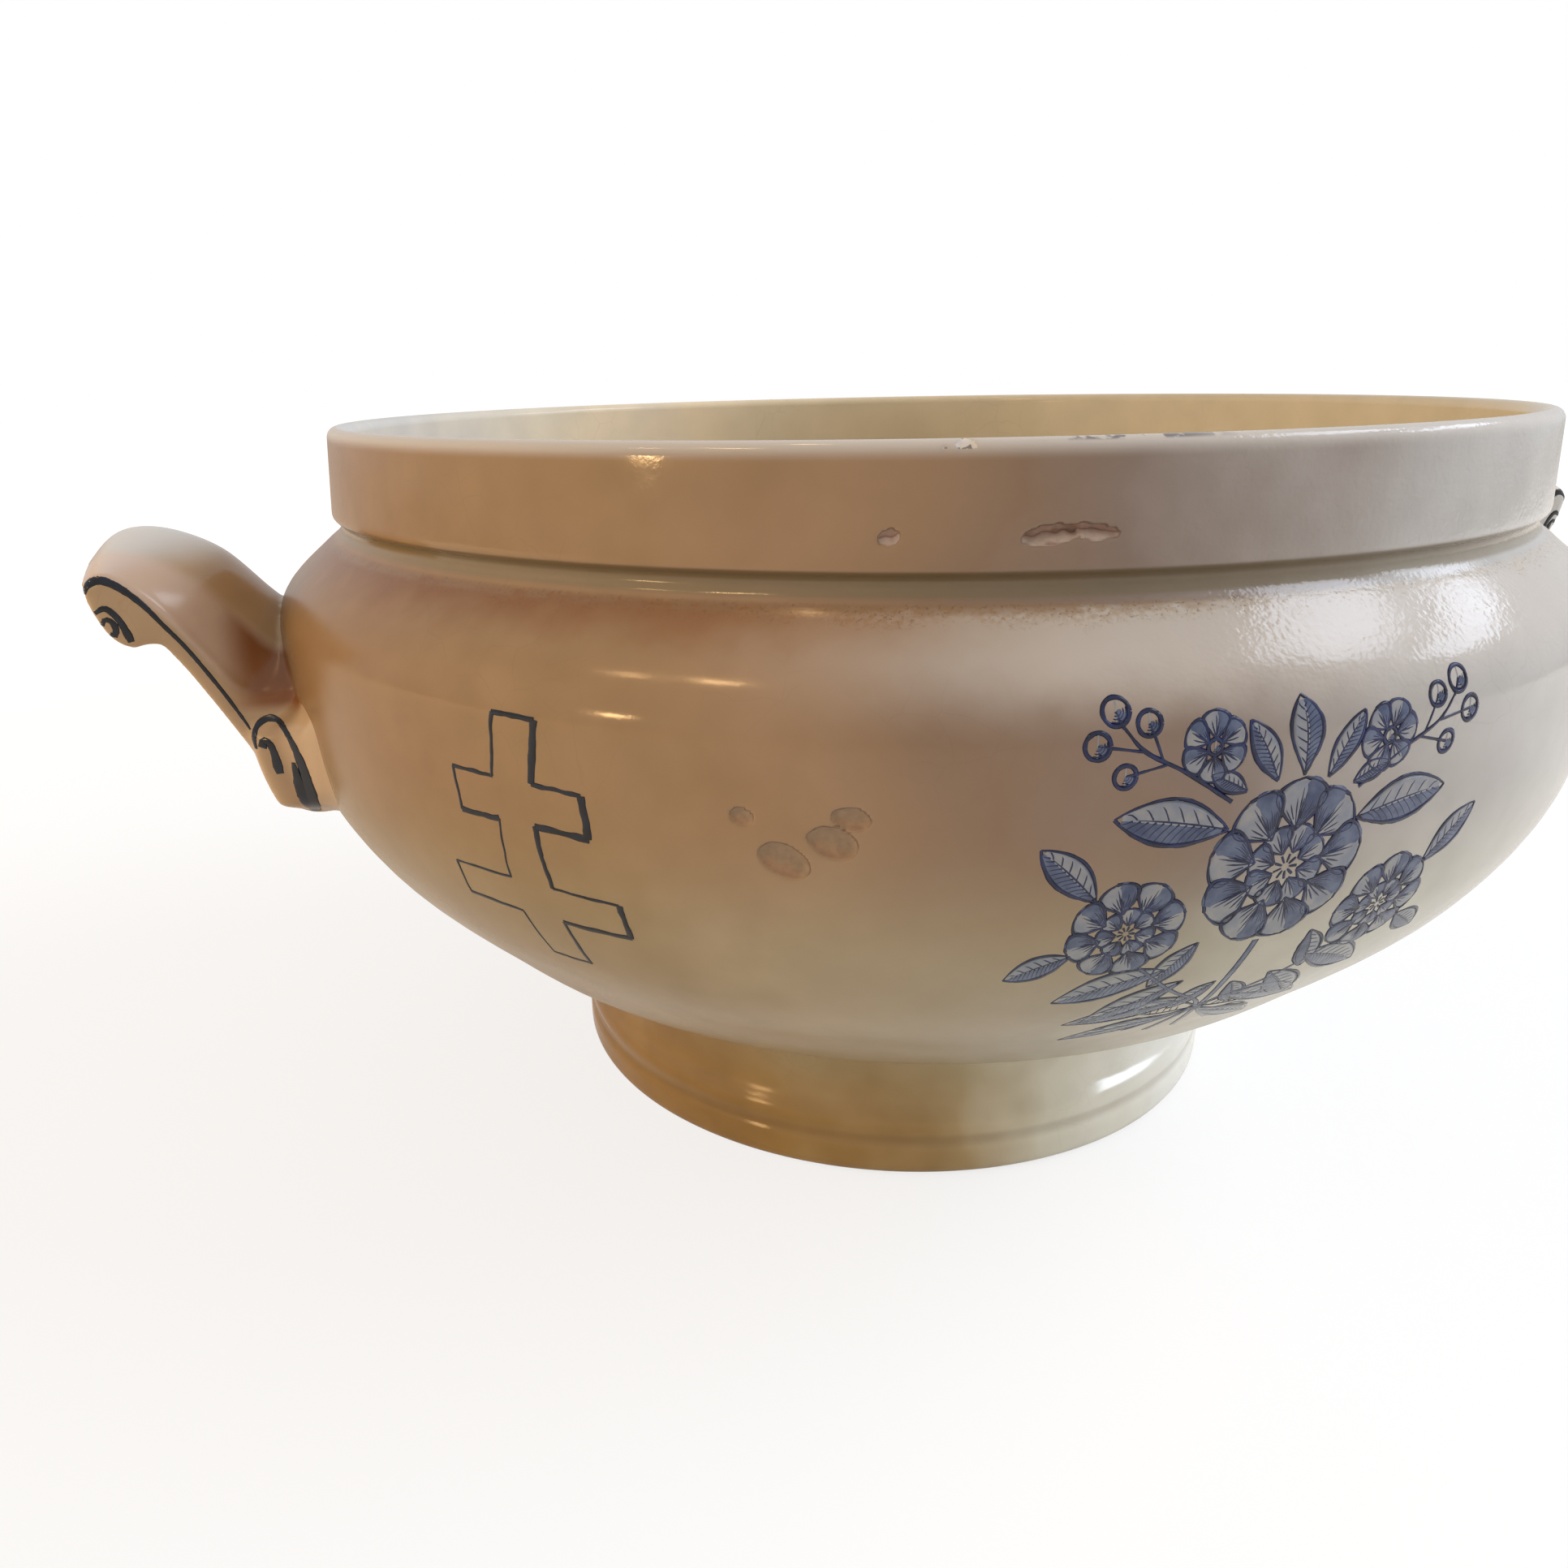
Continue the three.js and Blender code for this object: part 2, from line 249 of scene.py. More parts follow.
def lead_glaze(name, high_tones, low_tones=None, fade=(0.074, 0.098), layers=None, rough=0.12):
    """Old lead glaze: high_tones from left to right, low_tones under the fade."""
    material, tree, output = new_material(name)
    place = add(tree, "TexCoord").outputs["Object"]
    xyz = add(tree, "SeparateXYZ", {0: place}).outputs
    cloud, mottle = (add(tree, "TexNoise", {"Vector": place, "Scale": 1 / size,
                                            "Detail": detail}).outputs[0]
                     for size, detail in ((0.036, 3.0), (0.009, 4.0)))
    wander = add(tree, "MapRange", {0: cloud, 1: 0.3, 2: 0.7, 3: -0.014, 4: 0.014})
    across = add(tree, "Math", {0: xyz["X"], 1: wander.outputs[0]}, operation="ADD").outputs[0]
    colour = tones(tree, across, high_tones)
    if low_tones:
        colour = layered(tree, tones(tree, across, low_tones), (colour, 1, (xyz["Z"], *fade)))

    # Soft mottling, about 9 mm across, where the glaze lies thicker or thinner.
    tone = add(tree, "MapRange", {0: mottle, 1: 0.3, 2: 0.7, 3: 0.95, 4: 1.035})
    colour = add(tree, "VectorMath", {0: colour, 3: tone.outputs[0]},
                 operation="SCALE").outputs[0]

    # Crazing: cells of about 7 mm whose edges are bent by a fine noise.
    bend = add(tree, "TexNoise", {"Vector": place, "Scale": 1 / 0.006, "Detail": 2.0})
    bent = add(tree, "VectorMath", {0: bend.outputs["Color"], 1: (0.003, 0.003, 0.003), 2: place},
               operation="MULTIPLY_ADD")
    net = add(tree, "TexVoronoi", {"Vector": bent.outputs[0], "Scale": 1 / 0.007},
              feature="DISTANCE_TO_EDGE")
    crack = add(tree, "MapRange", {0: net.outputs["Distance"], 1: 0.0, 2: 0.022, 3: 1.0, 4: 0.0})
    colour = layered(tree, colour, ("#5E4630", 0.10, crack.outputs[0], (cloud, 0.50, 0.68)))

    # Iron specks: one cell in about twenty holds a dot some 0.4 mm wide.
    cells = add(tree, "TexVoronoi", {"Vector": place, "Scale": 1 / 0.0085})
    chance = add(tree, "SeparateXYZ", {0: cells.outputs["Color"]})
    rare = add(tree, "Math", {0: chance.outputs[0], 1: 0.95}, operation="GREATER_THAN")
    colour = layered(tree, colour, ("#6B4A2E", 1, (cells.outputs["Distance"], 0.034, 0.018),
                                    rare.outputs[0]))

    # The skin of the glaze: slow waves from the wheel, orange peel, and fine pits.
    skin = {}
    for rise, size, detail in ((0.00014, 0.014, 1.0), (0.000010, 0.0018, 3.0), (0.000008, 0.0006, 2.0)):
        wave = add(tree, "TexNoise", {"Vector": place, "Scale": 1 / size, "Detail": detail})
        bump = add(tree, "Bump", {"Distance": rise, "Height": wave.outputs[0], **skin})
        skin = {"Normal": bump.outputs[0]}
    dull = add(tree, "MapRange", {0: mottle, 1: 0.3, 2: 0.75, 3: rough * 0.8, 4: rough * 1.6})
    finish = colour, dull.outputs[0], bump.outputs[0]
    if layers:
        finish = layers(tree, place, xyz, *finish)
    shader = add(tree, "BsdfPrincipled", {"IOR": 1.5, **dict(zip(("Base Color", "Roughness", "Normal"),
                                                                 finish))})
    tree.links.new(shader.outputs[0], output.inputs[0])
    return material


# %% [markdown]
# ## Dirt, wear, bare clay and painted light on the body
#
# Under the collar, dust and grease have settled over the years: a brown band that is
# darkest in the corner. Above it the shoulder is paler as painted light from above, and
# the cove's top edge under the collar is darkened as painted shade. The top of the lip is
# rubbed pale, with a painted highlight along it, and has dark marks. Where the glaze has
# flaked off, the pinkish clay shows with a thin dirty outline that is darker at the upper
# side as painted shade, and in the collar's gouge the clay is painted darker under its
# upper edge and paler at its lower lip. The dirt is found by height and a broken noise,
# the bare clay by an attribute that the chips write.

# %% Layers of the body's glaze
def body_layers(tree, place, xyz, colour, rough, normal):
    """Adds the grime band, painted light on the shoulder and lip, painted shade under the collar and in
    the chips, the rim's rubs and the bare clay over the glaze.
    """
    x, z = xyz["X"], xyz["Z"]
    level_streaks = add(tree, "VectorMath", {0: place, 1: (1, 1, 7)}, operation="MULTIPLY").outputs[0]
    waves, grit, fine, blots, dust, rubs, bits, bloom, wiping = (
        add(tree, "TexNoise", {"Vector": where_to, "Scale": 1 / size, "Detail": detail}).outputs[0]
        for where_to, size, detail in (
            (place, 0.008, 3.0), (place, 0.0009, 4.0), (place, 0.0009, 5.0), (place, 0.004, 4.0),
            (place, 0.0005, 3.0), (place, 0.003, 5.0), (place, 0.0012, 3.0), (place, 0.0009, 1.0),
            (level_streaks, 0.008, 3.0)))
    shift = add(tree, "MapRange", {0: waves, 1: 0.3, 2: 0.7, 3: -0.0010, 4: 0.0010})
    height = add(tree, "Math", {0: z, 1: shift.outputs[0]}, operation="ADD").outputs[0]
    grime = tones(tree, x, [(-110, "#7C4D14"), (-70, "#8A5A28"), (-40, "#9A7850"),
                            (-12, "#AC9A80"), (20, "#C0B29E")])
    colour = layered(
        tree, colour,
        # A pale layer on the shoulder, strongest at the right, is painted light falling from above
        # with some dust in it. The grime over it is brown at the left, where the glaze is stained
        # too, and pale dust at the right.
        ("#C6BDB2", 0.80, (height, 0.1080, 0.1185), (z, 0.1232, 0.1226), (x, -0.080, -0.025)),
        (grime, 0.85, (height, 0.1165, 0.1225), (z, 0.1236, 0.1226), (x, -0.020, -0.080)),
        (grime, 0.65, (height, 0.1208, 0.1227), (z, 0.1236, 0.1228), (fine, 0.36, 0.66)),
        ("#8C6C48", 0.60, (z, 0.1219, 0.1226), (z, 0.1236, 0.1230), (x, 0.004, -0.030),
         (blots, 0.34, 0.58)),
        # Grains of dust, half a millimetre across, packed in the corner.
        ("#6A4B2C", 0.50, (height, 0.1204, 0.1226), (z, 0.1236, 0.1230), (dust, 0.56, 0.68)),
        # The cove between shoulder and collar keeps an olive film; its top edge, under the collar's
        # overhang, is darkened as painted shade.
        ("#7E7152", 0.62, (z, 0.1237, 0.1243), (z, 0.1277, 0.1271)),
        ("#5C4B34", 0.50, (z, 0.1248, 0.1271), (z, 0.1277, 0.1272)),
        # The lip is rubbed pale and lightened along its top as a painted highlight, with dark streaks
        # where metal has marked it.
        ("#CDC6BD", 0.80, (z, 0.1408, 0.1431)),
        ("#4C4A52", 0.80, (rubs, 0.48, 0.55), (x, -0.036, -0.026), (x, -0.006, -0.016),
         (z, 0.1429, 0.1433)))

    # In the chips the clay is pinkish and a little gritty, with a thin dirty outline that
    # darkens towards each chip's upper edge, partly as painted shade. In the collar's gouge
    # the clay is painted darker under its upper edge as painted shadow and paler towards its
    # lower lip as painted light. The attribute `chip_level` runs from -1 at a chip's lower
    # edge to 1 at its upper one.
    bare, level = (add(tree, "Attribute", attribute_name=name).outputs["Fac"]
                   for name in ("bare_clay", "chip_level"))
    shallow = tones(tree, level, [(-1.0, "#9A7555"), (-0.35, "#987656"), (-0.05, "#917759"),
                                  (0.9, "#92785B")], 1.0)
    # Painted shadow under the gouge's upper edge and painted light on its lower lip.
    gouge = tones(tree, level, [(-1.0, "#94776A"), (-0.72, "#B09B8B"), (-0.25, "#AC9687"),
                                (0.05, "#A08474"), (0.16, "#75584A"), (0.36, "#967562"),
                                (1.0, "#9A7D6C")], 1.0)
    shade = add(tree, "MapRange", {0: grit, 1: 0.3, 2: 0.7, 3: 0.88, 4: 1.10})
    clay = layered(tree, shallow, (gouge, 1, (z, 0.118, 0.119)))
    clay = add(tree, "VectorMath", {0: clay, 3: shade.outputs[0]}, operation="SCALE").outputs[0]
    on_lip = (z, 0.1395, 0.1405)
    clay = layered(tree, clay, ("#D8CFC4", 0.95, on_lip), ("#5A5048", 0.80, on_lip, (bits, 0.50, 0.56)))
    # The dirty outline darkens towards the upper edge, partly as painted shade.
    colour = layered(tree, colour, (clay, 1, (bare, 0.45, 0.85)),
                     ("#5E4532", 0.78, (bare, 0.15, 0.40), (bare, 0.80, 0.50),
                      (z, 0.1400, 0.1390), (level, -0.7, 0.5)))

    # Less gloss under the belly and beside the handles, where nobody wiped, and little in chips.
    for dull, *step in ((0.26, z, 0.072, 0.042), (0.26, x, -0.108, -0.122),
                        (0.26, x, 0.108, 0.122), (0.50, bare, 0.40, 0.60)):
        rough = add(tree, "Mix", {0: where(tree, 1, tuple(step)), 2: rough, 3: dull}).outputs[0]

    # Dried dust on the shoulder breaks its gloss into grains and level wiping streaks.
    for pattern, rise in ((bloom, 0.000050), (wiping, 0.000040)):
        pattern = where(tree, pattern, (z, 0.108, 0.114), (x, -0.055, -0.015))
        normal = add(tree, "Bump", {"Distance": rise, "Height": pattern, "Normal": normal}).outputs[0]
    return colour, rough, normal


# Stain and painted light from left to right: warm, lamp-lit tones at the left, a painted shade left of
# the front, and pale window-lit grey at the right. The low tones are partly painted bounce light from
# below.
outside_glaze = lead_glaze(
    "lead_glaze_ivory_outside",
    [(-125, "#8F6C44"), (-90, "#97774F"), (-62, "#A07F5D"), (-42, "#90745A"), (-20, "#8B786B"),
     (2, "#A39A92"), (22, "#B1ACA6"), (50, "#BAB7B1")],
    [(-125, "#90764C"), (-90, "#98815A"), (-66, "#A69270"), (-44, "#A09072"), (-24, "#9B917A"),
     (0, "#B4AF9C"), (25, "#C5C3B4"), (50, "#CAC8BC")], layers=body_layers)
# Inside, the tones are partly painted light: grey-white at the left, where window light falls on the
# inner wall, and a darker tan at the right, where it lies in shade.
inside_glaze = lead_glaze(
    "lead_glaze_ivory_inside",
    [(-112, "#C4C2BC"), (-62, "#D6CBB4"), (-20, "#DECAA9"), (40, "#C9BA9C"), (110, "#BFB196")])

# %% [markdown]
# ## The bowl
#
# A wheel-thrown bowl is a profile turned about its axis, so it is spun. The outside runs
# from the foot through the swelling belly to a small bead, a cove and an upright collar
# with a rounded lip; the inside follows it at the wall's thickness. The chips on the
# front need small faces, so the profile is spun in two goes: fine steps over the chipped
# sector, wider steps over the rest, and the seam is merged.

# %% Profile of the bowl
FOOT_R, BELLY_R, NECK_R, RIM_R = 74.9, 133.33, 120.7, 119.7
FOOT_Z, BELLY_Z, NECK_Z, COLLAR_Z, TOP_Z = 33.3, 101.5, 123.5, 127.2, 143.5
WALL, LIP = 5.6, 1.9

lower = [(0, 0), (0.33, 0.07), (0.59, 0.255), (0.823, 0.47), (0.965, 0.715), (1, 1)]
body_points = [(FOOT_R + (BELLY_R - FOOT_R) * a, FOOT_Z + (BELLY_Z - FOOT_Z) * b)
               for a, b in lower]
body_points += [(NECK_R + (BELLY_R - NECK_R) * 0.86, BELLY_Z + (NECK_Z - BELLY_Z) * 0.53),
                (NECK_R, NECK_Z)]
belly = smooth_line(body_points, 0.4)

neck = soft_corners([(*[p for p in belly if p.y < 122.4][-1], 0), (NECK_R + 0.1, NECK_Z - 0.35, 0.9),
                     (119.35, 124.6, 1.0), (119.2, 126.3, 0.9), (NECK_R, COLLAR_Z + 0.1, 0.7),
                     (NECK_R - 0.05, COLLAR_Z + 1.4, 0)])
lip = [Vector((RIM_R - LIP + LIP * math.cos(a), TOP_Z - LIP + LIP * math.sin(a)))
       for a in (math.pi * i / 14 for i in range(15))]


def moved_in(line, distance):
    """The line moved towards the axis, square to itself."""
    made = []
    for i, point in enumerate(line):
        along = line[min(i + 1, len(line) - 1)] - line[max(i - 1, 0)]
        made.append(point + Vector((-along.y, along.x)).normalized() * distance)
    return made


hollow = [p for p in moved_in(belly, WALL) if p.y > 41.2 and p.x > 70]
floor_corner = soft_corners([(0, 39.7, 0), (30, 39.6, 10), (66, 39.5, 5),
                             (hollow[0].x, hollow[0].y, 0)])
inside = (floor_corner[:-1] + hollow
          + soft_corners([(hollow[-1].x, hollow[-1].y, 0), (116.95, 126.2, 1.5),
                          (RIM_R - 2 * LIP, TOP_Z - LIP, 0)])[1:-1])


def row_spacing(point):
    """Rows of faces: fine where the chips are, wider where nothing happens."""
    if 86 < point.y < 102 or 128 < point.y < 136:
        return 0.42
    return 1.3


outer_line = even_points([Vector((0, FOOT_Z)), Vector((FOOT_R, FOOT_Z))], lambda p: 9.0)
outer_line += even_points([p for p in belly if p.y < 122.4], row_spacing)[1:]
outer_line += neck[1:]
outer_line += even_points([neck[-1], lip[0]], row_spacing)[1:]
outer_line += lip[1:]
inner_line = even_points(inside, lambda p: 2.4 if p.x > 60 else 6.0)
bowl_line = outer_line + inner_line[-2::-1]
print("profile of", len(bowl_line), "points")

# %% [markdown]
# ## Spinning the bowl
#
# `spin` copies the profile round the Z axis and joins the copies with faces. The points
# on the axis fall together, so doubles are merged, and then the faces are turned to point
# outwards. Faces that look at the axis, and the floor, take the inside glaze later on.

# %% Spin
FINE_FROM, FINE_TO = -35.5, -8.5
FINE_STEPS, WIDE_STEPS = 165, 144


def spun(line, sectors, at=0.0):
    """A profile of radius and height in mm, spun through sectors of (degrees, steps)."""
    bm = bmesh.new()
    turn = math.radians(at)
    dots = [bm.verts.new((p.x * MM * math.sin(turn), -p.x * MM * math.cos(turn), p.y * MM))
            for p in line]
    geom = dots + [bm.edges.new(pair) for pair in zip(dots, dots[1:])]
    for degrees, steps in sectors:
        made = bmesh.ops.spin(bm, geom=geom, cent=(0, 0, 0), axis=(0, 0, 1),
                              angle=math.radians(degrees), steps=steps)
        geom = made["geom_last"]
    bmesh.ops.remove_doubles(bm, verts=bm.verts, dist=0.004 * MM)
    bmesh.ops.recalc_face_normals(bm, faces=bm.faces)
    return bm


bowl = spun(bowl_line, [(FINE_TO - FINE_FROM, FINE_STEPS),
                        (360 - (FINE_TO - FINE_FROM), WIDE_STEPS)], at=FINE_FROM)
print("bowl closed:", all(e.is_manifold for e in bowl.edges))

# %% [markdown]
# ## Chips
#
# Knocks have flaked small shells of glaze from the belly and gouged the collar. Each
# chip is a shallow dent with a steep, ragged edge and an uneven floor. The vertices
# inside it are pushed in, and two attributes tell the glaze where clay lies bare and how
# high in its chip a point is.

# %% Dents in the bowl
# Angle from the front in degrees, height, half length, half height and depth in mm,
# tilt in degrees, raggedness, and how much deeper the upper side is.
CHIPS = [(-32.8, 97.7, 1.7, 1.2, 0.45, -14, 0.05, 0.3), (-30.4, 91.7, 3.8, 2.4, 0.60, -24, 0.03, 0.4),
         (-27.6, 94.7, 3.4, 2.3, 0.55, -16, 0.05, 0.4), (-26.6, 98.2, 2.6, 1.6, 0.45, -8, 0.06, 0.3),
         (-25.1, 131.7, 1.5, 1.1, 0.35, 10, 0.12, 0.6), (-15.4, 131.8, 4.0, 1.25, 1.10, 6, 0.10, 0.9),
         (-12.9, 132.2, 3.5, 1.05, 0.95, -7, 0.12, 0.9), (-20.9, 142.8, 1.7, 0.65, 0.35, 8, 0.5, 0.0)]
bare = bowl.verts.layers.float.new("bare_clay")
chip_level = bowl.verts.layers.float.new("chip_level")


def eased(low, high, value):
    """0 at low, 1 at high, with a soft start and end."""
    share = min(max((value - low) / (high - low), 0.0), 1.0)
    return share * share * (3 - 2 * share)


moved = 0
for vert in bowl.verts:
    radius = math.hypot(vert.co.x, vert.co.y) / MM
    if radius < 118.2 or vert.co.z < 0.080:
        continue
    angle = math.degrees(math.atan2(vert.co.x, -vert.co.y))
    for n, (at, level, half_long, half_high, depth, tilt, ragged, undercut) in enumerate(CHIPS):
        across = math.radians(angle - at) * radius
        up = vert.co.z / MM - level
        if abs(across) > 2 * half_long or abs(up) > 2 * half_high + 1:
            continue
        c, s = math.cos(math.radians(tilt)), math.sin(math.radians(tilt))
        a, b = (across * c + up * s) / half_long, (up * c - across * s) / half_high
        spot = Vector((across * 0.55, up * 0.55, n * 7.0))
        reach = math.hypot(a, b) * (1 + 2 * ragged * noise.noise(spot))
        dip = 1 - eased(0.80, 1.0, reach)
        floor = 0.85 + 0.20 * noise.noise(spot * 2.7) + 0.15 * noise.noise(spot * 6.1)
        floor *= 1 - undercut + undercut * 1.3 * eased(-1.0, 0.6, b)
        out = Vector((vert.co.x, vert.co.y, 0)).normalized()
        vert.co -= out * dip * floor * depth * MM
        strength = 1 - eased(0.84, 1.10, reach)
        if strength > vert[bare]:
            vert[bare], vert[chip_level] = strength, b + 0.35 * noise.noise(spot * 1.3)
        moved += dip > 0
print(moved, "vertices lie in chips")

UNDER_FLOOR = 0.0385
for face in bowl.faces:
    middle = face.calc_center_median()
    inwards = face.normal.dot(Vector((middle.x, middle.y, 0))) < 0
    if middle.z > UNDER_FLOOR and (inwards or math.hypot(middle.x, middle.y) < 75 * MM):
        face.material_index = 1
finished("bowl_body", mesh_of(bowl, "bowl_body"), [outside_glaze, inside_glaze],
         ["bowl"])

# %% [markdown]
# ## The foot ring
#
# The foot is a short, upright ring that swells softly low down, over a thin hollow line
# and a rounded moulding at its base. Slip was wiped into the corner under the belly, so
# the ring flares into the body. Its resting edge is wiped free of glaze and shows bare,
# dirty clay. It is one closed profile, spun all the way round.

# %% Foot
outer_foot = soft_corners([(70.6, 0.0, 0), (FOOT_R + 0.9, 0.0, 2.3), (FOOT_R + 0.9, 6.4, 1.2),
                           (FOOT_R + 0.1, 7.8, 0.9), (FOOT_R + 0.6, 9.6, 1.4),
                           (FOOT_R + 0.85, 11.9, 2.2), (FOOT_R - 1.35, 16.1, 2.8),
                           (FOOT_R - 1.25, 26.0, 3.0), (FOOT_R - 0.5, 30.4, 3.0),
                           (80.6, 34.9, 3.2), (84.5, 37.0, 0)])
foot_line = (even_points(outer_foot, lambda p: 0.55)
             + soft_corners([(84.3, 38.6, 0), (74.0, 37.0, 2), (66.5, 34.0, 0)])
             + soft_corners([(66.0, 33.0, 0), (68.3, 32.6, 1.5), (68.3, 1.6, 1.0),
                             (70.6, 0.0, 0)]))
foot = spun([Vector(p) for p in foot_line], [(360, 200)])
print("foot closed:", all(e.is_manifold for e in foot.edges))

# %% [markdown]
# The foot's glaze is the same as the body's, but its resting edge was wiped bare so that
# it wouldn't stick to the kiln shelf. A layer by height brings back rough, dirty clay.

# %% Unglazed resting edge
def foot_layers(tree, place, xyz, colour, rough, normal):
    """Painted shade in the hollow line and the corner under the belly, and bare clay under the lowest
    half millimetre.
    """
    z = xyz["Z"]
    ragged, crumbs = (add(tree, "TexNoise", {"Vector": place, "Scale": 1 / size,
                                             "Detail": detail}).outputs[0]
                      for size, detail in ((0.004, 4.0), (0.002, 5.0)))
    edge = add(tree, "MapRange", {0: ragged, 1: 0.3, 2: 0.7, 3: 0.0002, 4: 0.0009})
    under = add(tree, "Math", {0: z, 1: edge.outputs[0]}, operation="LESS_THAN").outputs[0]
    clay = layered(tree, "#8E7050", ("#C9B08E", 1, crumbs))
    # Painted shade darkens the hollow line and the corner under the belly; the lowest edge is bare clay.
    colour = layered(tree, colour, ("#6E5230", 0.26, (z, 0.0062, 0.0079), (z, 0.0100, 0.0084)),
                     ("#7A6038", 0.40, (z, 0.0270, 0.0310), (z, 0.0360, 0.0325)), (clay, 1, under))
    rough = add(tree, "Mix", {0: under, 2: rough, 3: 0.85}).outputs[0]
    return colour, rough, normal


# Warm golden brown at the left to pale grey-white at the right: stain and painted light, lamp-lit at the
# left and window-lit at the right.
foot_glaze = lead_glaze(
    "lead_glaze_ivory_foot",
    [(-78, "#846232"), (-45, "#A08557"), (-22, "#B0A07A"), (5, "#D9D5C3"), (40, "#EBEBE3")],
    [(-78, "#84622E"), (-45, "#9B783C"), (-22, "#B0976A"), (5, "#DAD5BF"), (40, "#E6E5DB")],
    fade=(0.010, 0.026), layers=foot_layers)
foot_piece = finished("foot_ring_body", mesh_of(foot, "foot_ring_body"), [foot_glaze],
                      ["foot_ring", "foot_slip_seam"])

# %% [markdown]
# ## The handles
#
# Each handle is a press-moulded strap with a scroll at its tip: flat sides, a swelling
# top and a root that was luted to the belly with slip. Its side view is a closed line,
# copied across the width by a spin with no angle, and its top is then lifted towards the
# middle. How far each point may rise is kept in a layer on the line, so that every copy
# carries it along. The sides are rounded by three small insets.

# %% Strap with a scroll
REACH, RISE, LOW, CROWN, HALF = 29.5, 46.6, 75.3, 13.6, 26.0
UNDER = [(-0.6, 0.02), (-0.25, 0), (-0.09, 0), (0.04, 0.06), (0.247, 0.318), (0.476, 0.59),
         (0.615, 0.73)]
SCROLL = [(0.615, 0.73), (0.7, 0.732), (0.785, 0.724), (0.885, 0.77), (0.96, 0.875),
          (0.98, 0.95)]
TOP = [(0.98, 0.95, 0.09, 0.22), (0.872, 0.996, 0, 0.34), (0.736, 0.942, -0.29, 0.51),
       (0.581, 0.815, -0.63, 0.64), (0.402, 0.639, -0.79, 0.67), (0.29, 0.528, -0.79, 0.82),
       (0.155, 0.485, -0.69, 0.86), (-0.05, 0.494, -0.55, 0.86), (-0.45, 0.5, -0.34, 0.86)]
SIDE_ROUND = 1.3
ACROSS_STEPS = 36


def on_side(point):
    """A point of the side view in mm, with its lean kept."""
    return Vector((BELLY_R + point[0] * REACH, LOW + point[1] * RISE, *(point[2:] or (0, 0))))


def bulge(share):
    """How much of the crown is reached: 1 in the middle, 0 at the sides."""
    return max(1 - share * share, 0) ** 0.8


def strap():
    """One handle on the +X side, closed, still without its joint."""
    bm = bmesh.new()
    lean = bm.verts.layers.float_vector.new("lean")
    side = smooth_line([on_side(p) for p in UNDER], 0.9)
    side = side[:-1] + smooth_line([on_side(p) for p in SCROLL], 0.7)
    side = side[:-1] + smooth_line([on_side(p) for p in TOP], 0.9)
    flat_half = HALF - SIDE_ROUND
    dots = []
    for p in side:
        dots.append(bm.verts.new((p.x * MM, -flat_half * MM, p.y * MM)))
        dots[-1][lean] = Vector((p.z, 0, p.w)) * CROWN * MM
    loop = [bm.edges.new((a, b)) for a, b in zip(dots, dots[1:] + dots[:1])]
    made = bmesh.ops.spin(bm, geom=dots + loop, cent=(0, 0, 0), axis=(0, 0, 1),
                          dvec=(0, 2 * flat_half * MM / ACROSS_STEPS, 0), angle=0,
                          steps=ACROSS_STEPS)
    last = [item for item in made["geom_last"] if isinstance(item, bmesh.types.BMEdge)]
    caps = [bmesh.ops.contextual_create(bm, geom=edges)["faces"][0] for edges in (loop, last)]
    bmesh.ops.recalc_face_normals(bm, faces=bm.faces)
    for vert in bm.verts:
        share = vert.co.y / (flat_half * MM)
        vert.co.y = math.sin(share * math.pi / 2) * flat_half * MM
        vert.co += vert[lean] * bulge(vert.co.y / (HALF * MM))
    for cap in caps:
        for inwards, out in ((0.134, 0.5), (0.366, 0.366), (0.5, 0.134)):
            bmesh.ops.inset_region(bm, faces=[cap], thickness=inwards * SIDE_ROUND * MM,
                                   depth=out * SIDE_ROUND * MM, use_even_offset=True)
    return bm


# %% [markdown]
# ## The joint of handle and body
#
# Slip was smeared round the root, so the handle grows out of the belly in a soft web
# that is widest beside it. The web is a pad that follows the belly and thickens towards
# the handle. Strap and pad are made one by a fine voxel remesh and a little smoothing,
# which rounds the corner between them as a wet finger would. The pad reaches under the
# bowl's surface, so its rim melts into the glaze with no step. What would stick through
# to the inside of the bowl is cut off inside its wall by a boolean.

# %% Pad, remesh and smoothing
PAD_HALF, PAD_TOP, PAD_BOTTOM, PAD_Z = 42.5, 10.0, 17.0, 90.3
PAD_DEEP, ROOT_DEEP = 3.6, 2.6  # how far pad and root reach under the glaze
GRID_HALF, GRID_RISE, GRID_Z = 47.0, 22.0, 93.0  # the grid that the pad is bent from
WEB_STEEP, WEB_EVEN = 7.5, 1.7  # thickness at the strap: a steep part and an even one
VOXEL = 0.62  # small enough to keep the handle's soft corners
ARC_R = 133.0  # distances across the belly are measured at this radius


def belly_radius(height):
    """Radius of the outside of the body at a height, in mm."""
    for a, b in zip(belly, belly[1:]):
        if a.y <= height <= b.y:
            return a.x + (b.x - a.x) * (height - a.y) / max(b.y - a.y, 1e-6)
    return belly[-1].x if height > belly[-1].y else belly[0].x


def on_belly(across, height, stand):
    """A place at a distance across from +X and a height, standing off the belly, in metres."""
    radius = belly_radius(height)
    angle = across / ARC_R
    out = radius + stand
    return Vector((out * math.cos(angle), out * math.sin(angle), height)) * MM


